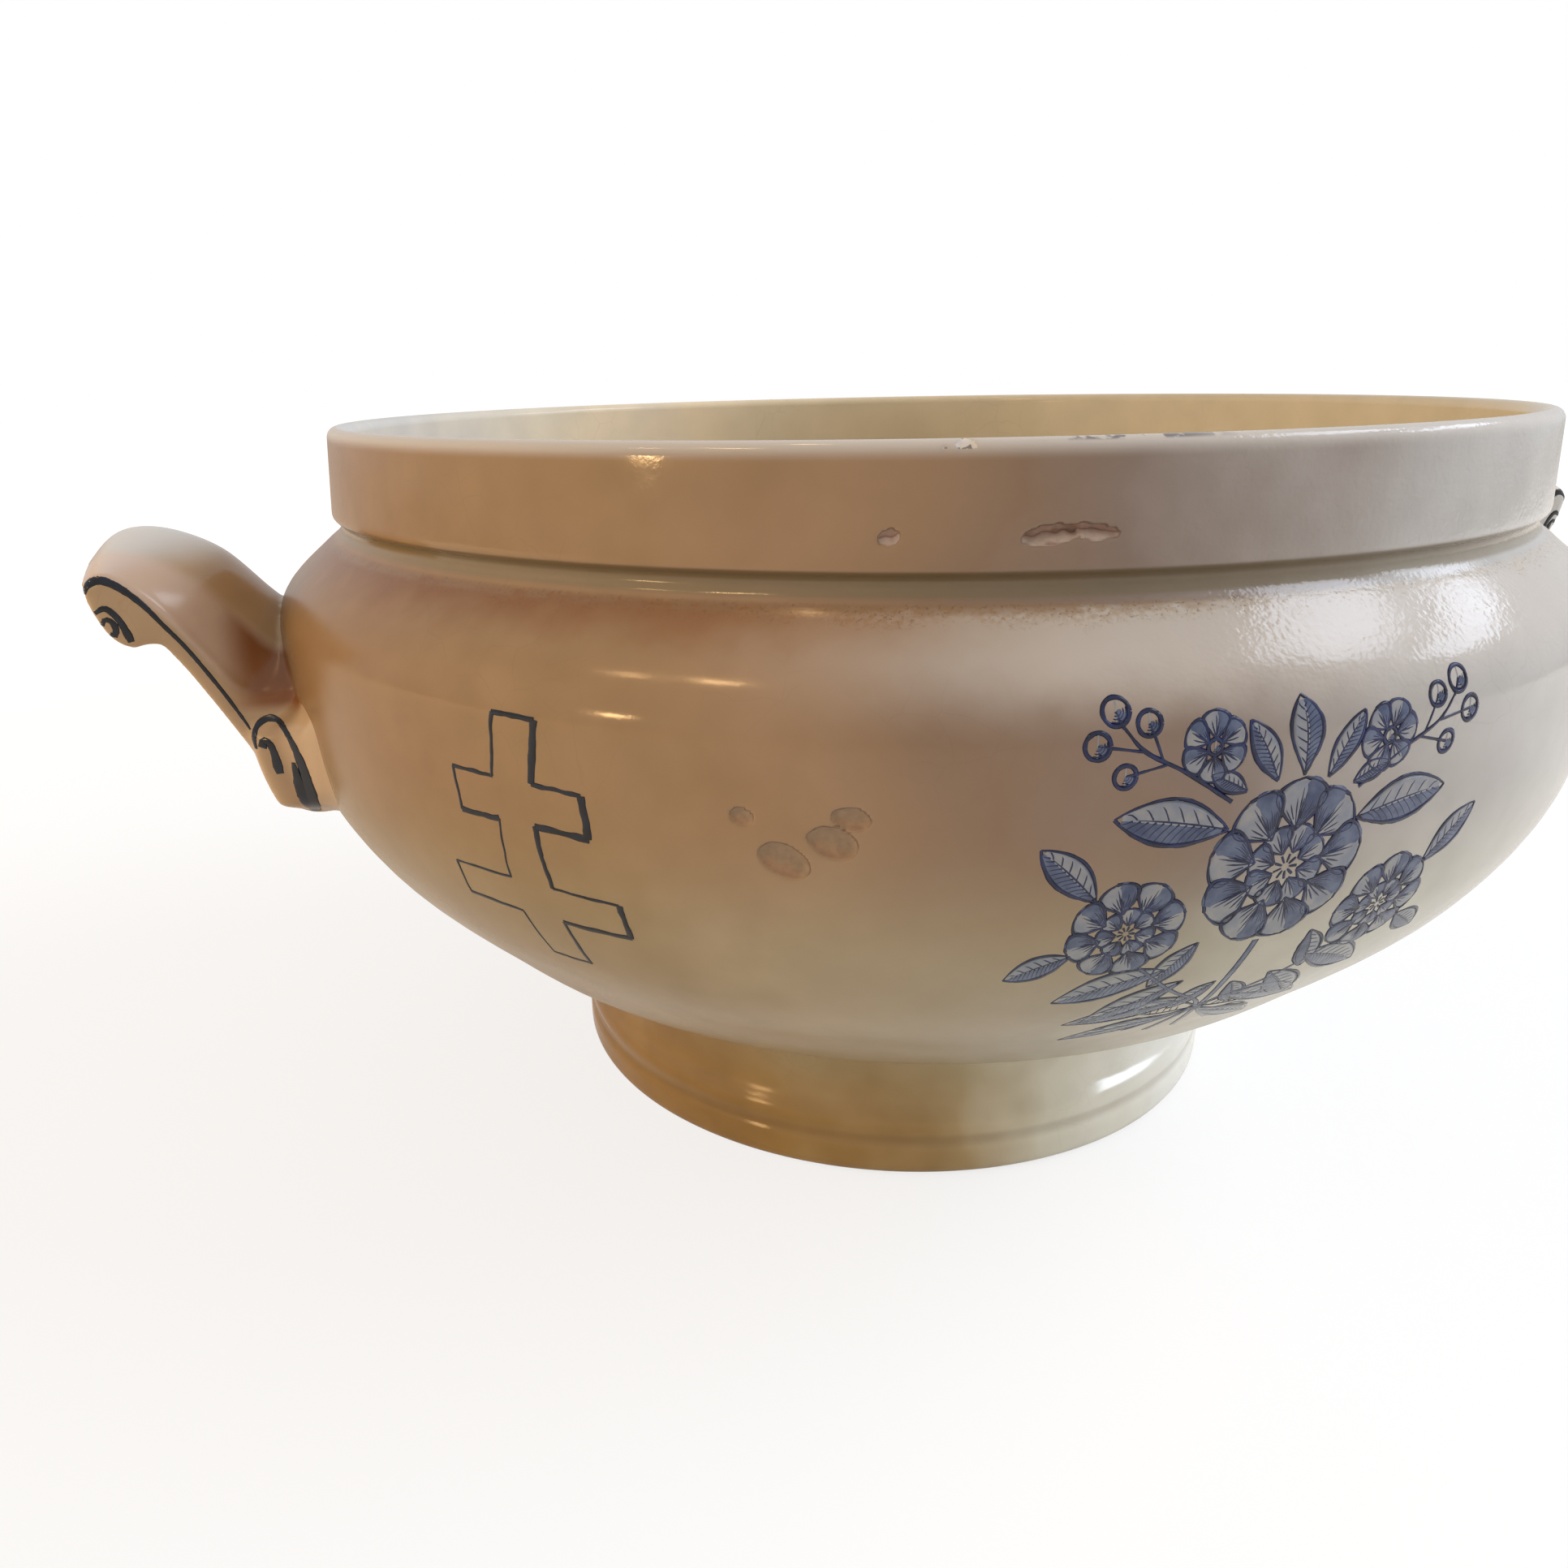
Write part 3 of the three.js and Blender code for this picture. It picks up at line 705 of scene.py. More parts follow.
def web_height(across, height):
    """How thick the slip is: a steep flare beside the handle, nothing at the pad's rim."""
    above = height > PAD_Z
    power = 5 if above else 3
    crown = 0.86 * CROWN * bulge(min(abs(across) / HALF, 1)) if above else 0
    reach = (PAD_TOP if above else PAD_BOTTOM) + crown
    share = ((abs(across) / PAD_HALF) ** power + (abs(height - PAD_Z) / reach) ** power)
    share = share ** (1 / power)
    side = min(max((abs(across) - HALF) / (PAD_HALF - HALF), 0), 1)
    strap_top = 98.0 + 0.86 * CROWN * bulge(min(abs(across) / HALF, 1))
    flare = WEB_STEEP * (1 - side) ** 3.2 + WEB_EVEN * (1 - side)
    flare *= eased(strap_top + 0.5, strap_top - 7, height)
    rim = eased(1.0, 0.84, share)
    return flare * rim - 0.9 * (1 - rim) - 2.2 * max(share - 1, 0)


def slip_pad():
    """The smeared slip as a closed block on the +X side of the belly."""
    bm = bmesh.new()
    bmesh.ops.create_grid(bm, x_segments=96, y_segments=52, size=1.0)
    made = bmesh.ops.extrude_face_region(bm, geom=list(bm.faces))
    top = {v for v in made["geom"] if isinstance(v, bmesh.types.BMVert)}
    for vert in bm.verts:
        across, height = vert.co.x * GRID_HALF, GRID_Z + vert.co.y * GRID_RISE
        vert.co = on_belly(across, height, web_height(across, height) if vert in top else -PAD_DEEP)
    bmesh.ops.recalc_face_normals(bm, faces=bm.faces)
    return mesh_of(bm, "pad")


def wall_core():
    """The turned body a little under its glaze: what a root in the wall is cut off by."""
    line = [Vector((0, 40))] + [Vector((p.x - ROOT_DEEP, p.y)) for p in belly if p.y > 40]
    line += [Vector((line[-1].x, 150)), Vector((0, 150))]
    return mesh_of(spun(line, [(360, 200)]), "wall_core")


def luted_handle(name):
    """Strap and pad as one softened mesh on the +X side."""
    bm = strap()
    bm.from_mesh(slip_pad())
    bmesh.ops.triangulate(bm, faces=[f for f in bm.faces if len(f.verts) > 4])
    holder = in_scene(name + "_raw", mesh_of(bm, name + "_raw"))
    remesh = holder.modifiers.new("voxels", "REMESH")
    remesh.mode, remesh.voxel_size = "VOXEL", VOXEL * MM
    relax = holder.modifiers.new("wet finger", "SMOOTH")
    relax.factor, relax.iterations = 0.5, 9
    core = in_scene("wall_core", wall_core())
    trim = holder.modifiers.new("cut in the wall", "BOOLEAN")
    trim.operation, trim.solver, trim.object = "DIFFERENCE", "MANIFOLD", core
    shown = holder.evaluated_get(bpy.context.evaluated_depsgraph_get())
    mesh = bpy.data.meshes.new_from_object(shown)
    bpy.data.objects.remove(holder)
    bpy.data.objects.remove(core)
    mesh.materials.clear()
    return mesh


handle_mesh = luted_handle("handle_shape")
for name, pick in (("from", min), ("to", max)):
    print("handle", name, [round(pick(v.co[i] for v in handle_mesh.vertices) / MM, 1) for i in range(3)])

# %% [markdown]
# In the crotch between strap and belly the handles' glaze is browner as painted shade,
# and duller, by an attribute that falls off away from the belly. The top of each strap is
# paler as a painted highlight, and a pale band along its sides is a painted sheen.

# %% Painted shade in the crotch, painted highlight and sheen on the strap
def handle_layers(tree, place, xyz, colour, rough, normal):
    """Painted light on the handle: a paler top and a pale band along the sides, and a brown, dull crotch
    of painted shade.
    """
    z = xyz["Z"]
    up = add(tree, "SeparateXYZ", {0: add(tree, "NewGeometry").outputs["Normal"]}).outputs["Z"]
    aside = add(tree, "Math", {0: xyz["Y"]}, operation="ABSOLUTE").outputs[0]
    near = add(tree, "Attribute", attribute_name="near_body").outputs["Fac"]
    brown = tones(tree, xyz["X"], [(-120, "#864808"), (120, "#94887A")])
    colour = layered(
        tree, colour,
        # A painted highlight on the upward-facing top, and a painted sheen band along the sides.
        ("#CFCBC4", 0.90, (up, 0.70, 0.98), (z, 0.108, 0.122)),
        ("#D6BBA8", 0.65, (up, 0.05, 0.30), (aside, 0.0150, 0.0195), (z, 0.098, 0.106)),
        # Painted shade: browner in the web and the crotch near the belly.
        ("#8A6A4C", 0.75, near, (aside, 0.0265, 0.0300)),
        (brown, 0.92, near, (aside, 0.0160, 0.0190), (z, 0.0955, 0.0980)))
    return colour, add(tree, "Mix", {0: near, 2: rough, 3: 0.25}).outputs[0], normal


# Warm at the left handle and grey at the right one: stain and painted light, as on the body.
handle_glaze = lead_glaze("lead_glaze_ivory_handles", [(-165, "#B4936C"), (-120, "#BE9D76"),
                                                       (120, "#B8B4AC"), (165, "#BAB6AE")],
                          layers=handle_layers, rough=0.15)
near_body = handle_mesh.attributes.new("near_body", "FLOAT", "POINT")
for vert, value in zip(handle_mesh.vertices, near_body.data):
    off = math.hypot(vert.co.x, vert.co.y) / MM - belly_radius(vert.co.z / MM)
    value.value = eased(13, 5, off) * eased(32, 28, abs(vert.co.y) / MM)

# %% [markdown]
# Both handles came out of one mould, so one mesh serves twice. It is copied and turned
# half round for the left, in its points rather than by its object, so that both objects
# stay at the origin.

# %% Left and right handle
handles = {}
for side, degrees in (("right", 0), ("left", 180)):
    shape = handle_mesh.copy()
    shape.transform(Matrix.Rotation(math.radians(degrees), 4, "Z"))
    handles[side] = finished(side + "_handle_body", shape, [handle_glaze],
                             [side + "_handle", side + "_handle_slip"])

# %% [markdown]
# ## Brush strokes
#
# Paint and print are thin skins of colour on the pot. Each stroke here is a curve with a
# width at every point, turned to a mesh and then laid on the surface as a skin a few
# hundredths of a millimetre high, whose edges fall away within EDGE millimetres. One
# helper draws any number of strokes flat and hands every vertex to a function that
# places it on the pot.

# %% Strokes from curves
EDGE = 0.08


def laid_strokes(name, strokes, place, height, sides):
    """Strokes of (x, y, width) points in mm, placed by place(x, y, height in mm)."""
    curve = bpy.data.curves.new(name, "CURVE")
    curve.dimensions, curve.use_fill_caps = "3D", True
    curve.bevel_depth, curve.bevel_resolution = 0.5, sides
    for stroke in strokes:
        line = curve.splines.new("POLY")
        line.points.add(len(stroke) - 1)
        for dot, (x, y, width) in zip(line.points, stroke):
            dot.co, dot.radius = (x, y, 0, 1), width
    drawn = in_scene(name, curve)
    shown = drawn.evaluated_get(bpy.context.evaluated_depsgraph_get())
    mesh = bpy.data.meshes.new_from_object(shown)
    bpy.data.objects.remove(drawn)
    for vert in mesh.vertices:
        vert.co = place(vert.co.x, vert.co.y, height * min(max(vert.co.z / EDGE, -1), 1))
    return mesh


def on_front(angle_width, z, stand):
    """A place on the belly: arc length from the front at the widest radius, height, stand-off."""
    angle = angle_width / BELLY_R
    radius = belly_radius(z) + stand
    return Vector((radius * math.sin(angle), -radius * math.cos(angle), z)) * MM


# %% [markdown]
# ## Painted lines
#
# The lines are painted in blue-black under the glaze: cobalt and manganese, almost black
# where the brush was full and bluer where it ran thin. One noise gives both that colour
# and the slight unevenness of the paint's surface.

# %% Blue-black paint
def blue_black():
    """Cobalt and manganese paint under the glaze: almost black, bluer where it is thin."""
    material, tree, output = new_material("cobalt_black_brush_paint")
    place = add(tree, "TexCoord").outputs["Object"]
    load = add(tree, "TexNoise", {"Vector": place, "Scale": 1 / 0.0022, "Detail": 4.0}).outputs[0]
    share = add(tree, "MapRange", {0: load, 1: 0.35, 2: 0.7})
    bump = add(tree, "Bump", {"Distance": 0.00001, "Height": load})
    gloss = add(tree, "MapRange", {0: load, 1: 0.3, 2: 0.7, 3: 0.12, 4: 0.26})
    shader = add(tree, "BsdfPrincipled", {
        "Base Color": layered(tree, "#08090E", ("#171E2E", 1, share.outputs[0])),
        "Roughness": gloss.outputs[0], "IOR": 1.5, "Normal": bump.outputs[0]})
    tree.links.new(shader.outputs[0], output.inputs[0])
    return material


paint = blue_black()

# %% [markdown]
# The double-barred cross on the left of the front is outlined freehand: thin where the
# brush was light, twice as thick on the right and lower edges. A ready outline would look
# printed, so each edge is a stroke of its own, with a slight tremble.

# %% Cross on the front
# Corners as angle from the front and height, each with the width of the edge that follows.
CROSS = [(-49.3, 108.2, 0.75), (-46.0, 108.0, 1.2), (-46.6, 98.5, 0.75), (-43.0, 97.9, 1.3),
         (-42.7, 91.4, 1.1), (-46.7, 92.0, 0.95), (-46.6, 87.2, 0.85), (-46.3, 81.7, 0.55),
         (-41.4, 81.0, 1.0), (-41.2, 74.7, 0.85), (-46.5, 75.1, 0.75), (-46.3, 65.7, 0.55),
         (-49.6, 66.2, 0.42), (-50.0, 75.2, 0.65), (-55.0, 76.0, 0.45), (-54.9, 82.1, 0.5),
         (-49.8, 82.0, 0.42), (-49.6, 92.0, 1.05), (-52.9, 92.0, 0.55), (-53.2, 98.8, 0.65),
         (-49.7, 98.6, 0.65)]
cross_strokes = []
for n, (angle, z, width) in enumerate(CROSS):
    next_angle, next_z, _ = CROSS[(n + 1) % len(CROSS)]
    start = Vector((math.radians(angle) * BELLY_R, z))
    end = Vector((math.radians(next_angle) * BELLY_R, next_z))
    steps = max(int((end - start).length / 0.6), 3)
    square = Vector((start.y - end.y, end.x - start.x)).normalized()
    stroke = []
    for step in range(steps + 1):
        t = step / steps
        shake = 0.16 * noise.noise(Vector((n * 3.7, t * 4.0, 0.5)))
        press = 1 + 0.28 * noise.noise(Vector((n * 5.1, t * 6.0, 2.5)))
        at = start.lerp(end, t) + square * shake
        stroke.append((at.x, at.y, width * press))
    cross_strokes.append(stroke)
finished("painted_cross", laid_strokes("cross", cross_strokes, on_front, 0.06, 2), [paint])

# %% [markdown]
# ## Lines on the handles
#
# A tapering line follows the crease between each flat side and the swelling top, and
# curls mark the scroll and the root. They are drawn in the handle's side view, and each
# vertex is then sent straight across to the handle's real surface.

# %% Curls on the handle sides
LINES = [[(161.9, 118.9, 0.6), (161.2, 120.3, 1.2), (159.4, 121.1, 1.45), (157.4, 120.4, 1.35),
          (155.2, 118.7, 1.15), (152.9, 116.2, 0.95), (150.6, 112.9, 0.85), (147.9, 109.1, 0.8),
          (145.3, 104.7, 0.75), (142.7, 99.9, 0.7), (140.7, 95.8, 0.6), (139.4, 93.0, 0.4)],
         [(160.9, 115.6, 0.7), (159.1, 116.3, 1.1), (157.4, 114.4, 1.1), (156.4, 111.6, 1.4),
          (156.1, 110.3, 1.2)],
         [(160.2, 113.4, 0.7), (159.6, 114.4, 0.9), (158.6, 114.1, 1.0), (158.1, 112.8, 1.2),
          (158.5, 111.6, 1.2), (159.2, 111.9, 0.8)],
         [(138.9, 89.6, 0.6), (138.9, 91.8, 0.9), (138.0, 93.8, 1.0), (136.1, 94.9, 1.1),
          (134.1, 94.5, 1.1), (132.7, 92.4, 1.15), (131.8, 89.9, 1.35), (131.1, 86.8, 1.8),
          (130.6, 83.0, 2.2), (130.4, 79.4, 2.4), (130.4, 75.9, 2.0)],
         [(132.6, 87.4, 0.7), (132.4, 84.8, 1.6), (132.1, 82.0, 2.2), (131.7, 79.4, 2.1),
          (131.4, 77.2, 1.2)],
         [(137.7, 89.9, 1.5), (137.2, 91.2, 1.4), (136.3, 90.8, 1.4), (135.7, 88.6, 1.5),
          (135.5, 86.0, 1.7), (135.3, 84.9, 1.4)]]
handle_tree = {side: BVHTree.FromObject(piece, bpy.context.evaluated_depsgraph_get())
               for side, piece in handles.items()}


def side_placer(side, face):
    """Places strokes on one flat side of one handle."""
    sign = 1 if side == "right" else -1

    def place(x, y, stand):
        start = Vector((sign * x, face * 70, y)) * MM
        spot, normal, _, _ = handle_tree[side].ray_cast(start, Vector((0, -face, 0)))
        if spot is None:
            start.y = face * HALF * MM
            spot, normal, _, _ = handle_tree[side].find_nearest(start)
        return spot + normal * stand * MM
    return place


for side in handles:
    for face, word in ((-1, "front"), (1, "back")):
        strokes = []
        for n, line in enumerate(LINES):
            strokes.append([(p.x, p.y, max(p.z, 0.25)
                             * (1 + 0.2 * noise.noise(Vector((p.x, p.y, n + face)))))
                            for p in smooth_line(line, 0.55)])
        finished(f"{side}_handle_curls_{word}",
                 laid_strokes("curls", strokes, side_placer(side, face), 0.07, 2), [paint])

# %% [markdown]
# ## A printed spray of flowers
#
# The right of the front carries a blue print taken from an engraved plate. Engravers
# build tone from lines: an outline, then fine strokes that follow the form and taper to
# nothing. The spray here is a common garden bouquet. One helper draws a petal or a leaf
# with its veins, and petals in a ring make a flower. Sizes are millimetres on the glaze.

# %% Petals, leaves and flowers
SHEET = {"lines": [], "wash": [], "tone": []}


def pen(points, width, taper=(0.4, 0.4), spacing=0.5):
    """One engraved stroke through points, thinner at its ends by the two tapers."""
    line = smooth_line(points, spacing)
    made = []
    for i, p in enumerate(line):
        t = i / max(len(line) - 1, 1)
        end = min(1, taper[0] + (1 - taper[0]) * t * 3, taper[1] + (1 - taper[1]) * (1 - t) * 3)
        press = 1 + 0.3 * noise.noise(Vector((p.x * 0.9, p.y * 0.9, width * 9)))
        made.append((p.x, p.y, width * end * press))
    return made


def draw(sheet, *stroke):
    """Adds one engraved stroke to a sheet of the print."""
    SHEET[sheet].append(pen(*stroke))


def around(x, y, radius, angle):
    """The point at a radius and an angle round (x, y)."""
    return x + radius * math.cos(angle), y + radius * math.sin(angle)


def blade(x, y, turn, length, width, blunt=0.6, curl=0.0, veins=5, dark=1):
    """A petal (blunt near 1) or leaf (blunt near 0.5): outline, washes, midrib and veins."""
    c, s = math.cos(math.radians(turn)), math.sin(math.radians(turn))

    def bulk(t):
        return math.sin(math.pi * min(t, 1) ** (0.55 + blunt)) ** (0.9 if blunt < 0.8 else 0.72)

    def put(t, side):
        u, v = t * length, curl * length * t * t + side * bulk(t) * width / 2
        return (x + u * c - v * s, y + u * s + v * c)

    steps = [i / 16 for i in range(17)]
    for side in (-1, 1):
        draw("lines", [put(t, side) for t in steps], 0.78 if side == dark else 0.50, (0.7, 0.6))
    draw("lines", [put(t, 0) for t in steps[:14]], 0.36, (1.0, 0.3))
    for sheet, lean, share in (("tone", 0, 0.94), ("wash", 0.50 * dark, 0.44)):
        SHEET[sheet].append([(*put(t, lean), share * width * bulk(t)) for t in steps[1:-1]])
    for side in (-1, 1):
        count = veins * (2 if side == dark else 1)
        for i in range(count):
            t = 0.08 + 0.80 * (i + 0.5) / count
            reach = 0.94 if side == dark else 0.70
            if blunt < 0.8:
                vein = [put(t, 0.06 * side), put(t + 0.06, 0.5 * side), put(t + 0.10, reach * side)]
            else:
                fan = side * (i + 0.7) / count
                start = 0.10 + 0.12 * (i % 2)
                vein = [put(start, fan), put(start + 0.25, fan), put(0.62 - 0.10 * (i % 3), fan)]
            draw("lines", vein, 0.42 if side == dark else 0.30, (1.0, 0.2))


def ring(x, y, inner, outer, petals, turn, width, veins=4):
    """Petals side by side round a centre."""
    for n in range(petals):
        angle = turn + 360 * n / petals
        a = math.radians(angle)
        blade(*around(x, y, inner, a), angle, outer - inner, width, 1.0, 0.0, veins,
              1 if math.cos(a + 0.6) > 0 else -1)


def flower(x, y, radius, petals, turn):
    """A double garden flower: outer and inner petals round a disc of stamens."""
    ring(x, y, radius * 0.42, radius, petals, turn, radius * 0.66, 4)
    ring(x, y, radius * 0.17, radius * 0.50, petals - 1, turn + 20, radius * 0.38, 2)
    for n in range(9):
        draw("lines", [around(x, y, radius * share, 2 * math.pi * n / 9) for share in (0.05, 0.15)],
             0.40, (0.6, 1))


def berry(x, y, radius):
    """A round berry: a circle with a shaded lower right and a pale upper left."""
    draw("tone", [(x - 0.1, y), (x, y), (x + 0.1, y)], radius * 1.9, (1, 1), 0.1)
    draw("lines", [around(x, y, radius, 2 * math.pi * i / 12) for i in range(13)], 0.66, (1, 1), 0.35)
    for share in (0.78, 0.56, 0.34):
        draw("lines", [around(x, y, radius * share, math.radians(d)) for d in (-115, -80, -45, -10, 25)],
             0.36, (0.3, 0.3), 0.35)
    draw("wash", [(x + radius * 0.2, y - radius * 0.5), (x + radius * 0.5, y)], radius * 0.9,
         (0.7, 0.7), 0.3)


def stem(points, width=0.55):
    """A stem drawn as two lines with a wash between them."""
    draw("wash", points, width * 1.3, (0.8, 0.8))
    for side in (-1, 1):
        draw("lines", [(x + side * width * 0.62, y) for x, y in points], 0.42 if side > 0 else 0.30,
             (0.7, 0.7))


# %% [markdown]
# The bouquet: a full flower in the middle, one at each side, sprigs of berries and two
# small blossoms above, leaves between them, and stems tied with a ribbon at the bottom.

# %% Bouquet
flower(0.5, -11.0, 12.5, 9, 8)
flower(-21.5, -19.5, 8.6, 8, 20)
flower(22.0, -21.0, 8.8, 8, 0)
for x, y, radius, turn in ((-13.5, 6.6, 4.6, 30), (14.0, 5.6, 4.8, 10)):
    ring(x, y, radius * 0.25, radius, 6, turn, radius * 0.85, 2)
    berry(x, y, radius * 0.22)
# Leaves between the flowers: x, y, turn, length, width and how blunt.
for leaf in ((0.5, 1.8, 92, 10.5, 5, 0.75), (-3.5, 1.5, 116, 9.5, 3.6, 0.5),
             (4.5, 1.2, 66, 9.5, 3.6, 0.5), (-9.8, -4.6, 166, 16.5, 6.4, 0.5),
             (10.8, -5.2, 14, 16.5, 6.4, 0.5), (-27, -13.8, 132, 11.5, 4.8, 0.5),
             (27.8, -14.8, 48, 11.5, 4.8, 0.5), (-8, 0.5, 150, 6, 2.6, 0.5),
             (9, 0, 28, 6, 2.6, 0.5), (-28.6, -23.4, 204, 10, 4.6, 0.5),
             (29.4, -25, -24, 10, 4.6, 0.5)):
    blade(*leaf, curl=0.10 if leaf[2] > 90 else -0.10, veins=6, dark=-1 if leaf[0] > 0 else 1)
for x, y, turn, length, width in ((-12.5, -28, 196, 17, 6.4), (13, -29.5, -14, 17, 6.4),
                                  (-8, -31.5, 216, 17, 6.2), (8.5, -33, -36, 17, 6.2),
                                  (-9.5, -22.5, 238, 10.5, 4.4), (10.5, -23.5, -58, 10.5, 4.4),
                                  (-3, -37.5, 190, 21, 6.4), (3.4, -38.5, -10, 21, 6.4),
                                  (-1.5, -33, 232, 9, 4), (2, -34, -52, 9, 4),
                                  (-2, -44, 200, 20, 5.4), (2.4, -44.5, -20, 20, 5.4)):
    blade(x, y, turn, length, width, 0.5, 0.14 if x < 0 else -0.14, 7, 1 if x < 0 else -1)
for m in (-1, 1):
    draw("lines", [(m * 10, -0.8), (m * 17, 3.5), (m * 23, 6.5), (m * 26.2, 9.8)], 0.62, (1, 0.6))
    for from_x, from_y, x, y, radius in ((26, 9.4, 27, 11.6, 1.8), (20.6, 5.4, 22.6, 10, 1.6),
                                         (23, 6.5, 29.4, 7.4, 1.7), (19.6, 4.8, 25.4, 3.4, 1.5)):
        berry(m * x, y, radius)
        draw("lines", [(m * from_x, from_y), (m * (from_x + x) / 2, (from_y + y) / 2), (m * x, y)],
             0.40, (1, 1))
stem([(0.5, -23.5), (0.2, -32), (0.4, -41)], 0.75)
stem([(-17, -27), (-9, -34), (-2.2, -38.5), (0, -42)])
stem([(17.5, -28.5), (9, -35.5), (2.8, -39), (0.6, -42)])
for foot_end in ((-8.5, -51), (-3, -53), (2.5, -52.5), (8, -50.5)):
    stem([(0.3, -41.5), (foot_end[0] * 0.4, -45.5), foot_end], 0.6)

# The ribbon: a loop with pleats and two tails, the same on both sides.
for m in (-1, 1):
    loop = [(0.6, -41.8), (m * 5, -38.6), (m * 10.5, -37.6), (m * 12.2, -40.2), (m * 9, -42.6),
            (m * 4.5, -42.6), (0.6, -41.8)]
    draw("lines", loop, 0.58, (0.8, 0.8))
    draw("wash", loop[1:5], 1.5, (0.5, 0.5))
    for n in range(7):
        x = 3.4 + 1.2 * n
        draw("lines", [(m * x, -42.4), (m * (x + 0.5), -40.6 + 0.15 * n)], 0.20, (1, 0.2), 0.4)
    for shift in (0, 1.9):
        draw("lines", [(m * 1.0, -42.4 - shift * 0.3), (m * 6, -44.6 - shift), (m * 10.5, -44.2 - shift),
                       (m * 15.5, -47.6 - shift * 0.6)], 0.48, (0.8, 0.8))
    draw("wash", [(m * 2, -43.6), (m * 7, -45.6), (m * 14, -47.4)], 1.3, (0.5, 0.5))
    draw("lines", [(m * 15.5, -47.6), (m * 13.6, -47.6), (m * 14.9, -48.8)], 0.32, (1, 1), 0.4)
berry(0.4, -42.0, 1.5)
print({sheet: len(strokes) for sheet, strokes in SHEET.items()}, "strokes")

# %% [markdown]
# The print is a flat sheet, so its height runs along the belly's curve rather than
# straight up, and its width is measured round the pot at each height. That keeps the
# flowers round where the belly turns under.

# %% Lay the print on the belly
climb = [0.0]
for a, b in zip(belly, belly[1:]):
    climb.append(climb[-1] + (b - a).length)
widest_at = min(range(len(belly)), key=lambda i: abs(belly[i].y - BELLY_Z))
PRINT_TURN = math.radians(-1.5)
PRINT_WIDE, PRINT_TALL = 0.96, 1.02


def on_print(x, y, stand):
    """A place of the print's sheet, y measured along the profile from the widest ring."""
    along = climb[widest_at] + (y - 1.0) * PRINT_TALL
    i = next((k for k in range(len(climb) - 1) if climb[k + 1] >= along), len(climb) - 2)
    share = (along - climb[i]) / (climb[i + 1] - climb[i])
    spot = belly[i].lerp(belly[i + 1], share)
    out = (belly[i + 1] - belly[i]).normalized()
    radius, z = spot.x + out.y * stand, spot.y - out.x * stand
    angle = x * PRINT_WIDE / BELLY_R * (1 + 0.35 * (BELLY_R / spot.x - 1)) + PRINT_TURN
    return Vector((radius * math.sin(angle), -radius * math.cos(angle), z)) * MM


def print_blue(name, dark, light, low_dark, low_light):
    """Cobalt print under glaze: denser and bluer high on the belly, greyer below, which partly stands
    for a painted reflection in the glaze.
    """
    material, tree, output = new_material(name)
    place = add(tree, "TexCoord").outputs["Object"]
    height = add(tree, "SeparateXYZ", {0: place}).outputs["Z"]
    high = add(tree, "MapRange", {0: height, 1: 0.055, 2: 0.092}).outputs[0]
    ink, peel = (add(tree, "TexNoise", {"Vector": place, "Scale": 1 / size,
                                        "Detail": detail}).outputs[0]
                 for size, detail in ((0.0028, 5.0), (0.0016, 3.0)))
    load = add(tree, "MapRange", {0: ink, 1: 0.36, 2: 0.66}).outputs[0]
    upper, under = (layered(tree, a, (b, 1, load)) for a, b in ((dark, light), (low_dark, low_light)))
    colour = layered(tree, under, (upper, 1, high))
    gloss = add(tree, "MapRange", {0: ink, 1: 0.3, 2: 0.7, 3: 0.11, 4: 0.19})
    skin = add(tree, "Bump", {"Distance": 0.000009, "Height": peel})
    shader = add(tree, "BsdfPrincipled", {"Base Color": colour, "Roughness": gloss.outputs[0],
                                          "IOR": 1.5, "Normal": skin.outputs[0]})
    tree.links.new(shader.outputs[0], output.inputs[0])
    return material


for sheet, word, stand, sides, *inks in (
        ("tone", "tone", 0.016, 2, "#7F8592", "#989796", "#7A838A", "#949891"),
        ("wash", "wash", 0.032, 2, "#3B4767", "#626D85", "#4C5A6E", "#727F8C"),
        ("lines", "print", 0.048, 0, "#0D1433", "#202C57", "#1D2A44", "#3C4A63")):
    finished("printed_bouquet_" + sheet, laid_strokes(sheet, SHEET[sheet], on_print, stand, sides),
             [print_blue("cobalt_transfer_" + word, *inks)])

# %% [markdown]
# ## Floor and light
#
# The bowl stands on a plain white floor. The camera sees it as white, with room left for
# a soft shadow near the foot, while the light that it sends back to the bowl is weaker, so
# that the glaze keeps its colour. The Light Path node tells these two kinds of ray apart.

# %% Floor
floor_bm = bmesh.new()
bmesh.ops.create_grid(floor_bm, x_segments=1, y_segments=1, size=6.0)
floor_mesh = mesh_of(floor_bm, "floor")
floor_mesh.transform(Matrix.Translation((0, 0, -0.00005)))
floor = in_scene("floor", floor_mesh)

floor_material, tree, output = new_material("white_paper_floor")
seen = add(tree, "LightPath").outputs
spot = add(tree, "TexCoord").outputs["Object"]
away = add(tree, "VectorMath", {0: spot}, operation="LENGTH").outputs["Value"]
near_or_far = add(tree, "MapRange", {0: away, 1: 0.25, 2: 1.4, 3: 0.77, 4: 0.96},
                  interpolation_type="SMOOTHSTEP").outputs[0]
shown = add(tree, "BsdfDiffuse", {"Color": linear("#E6E6E6")})
for ray, tone, glow in (("Is Glossy Ray", "#BCB4A8", 0.30),
                        ("Is Camera Ray", "#7F7F7F", near_or_far)):
    shade = add(tree, "BsdfDiffuse", {"Color": linear(tone)})
    light = add(tree, "Emission", {"Color": (1, 1, 1, 1), "Strength": glow})
    lit = add(tree, "AddShader", {0: shade.outputs[0], 1: light.outputs[0]})
    shown = add(tree, "MixShader", {0: seen[ray], 1: shown.outputs[0], 2: lit.outputs[0]})
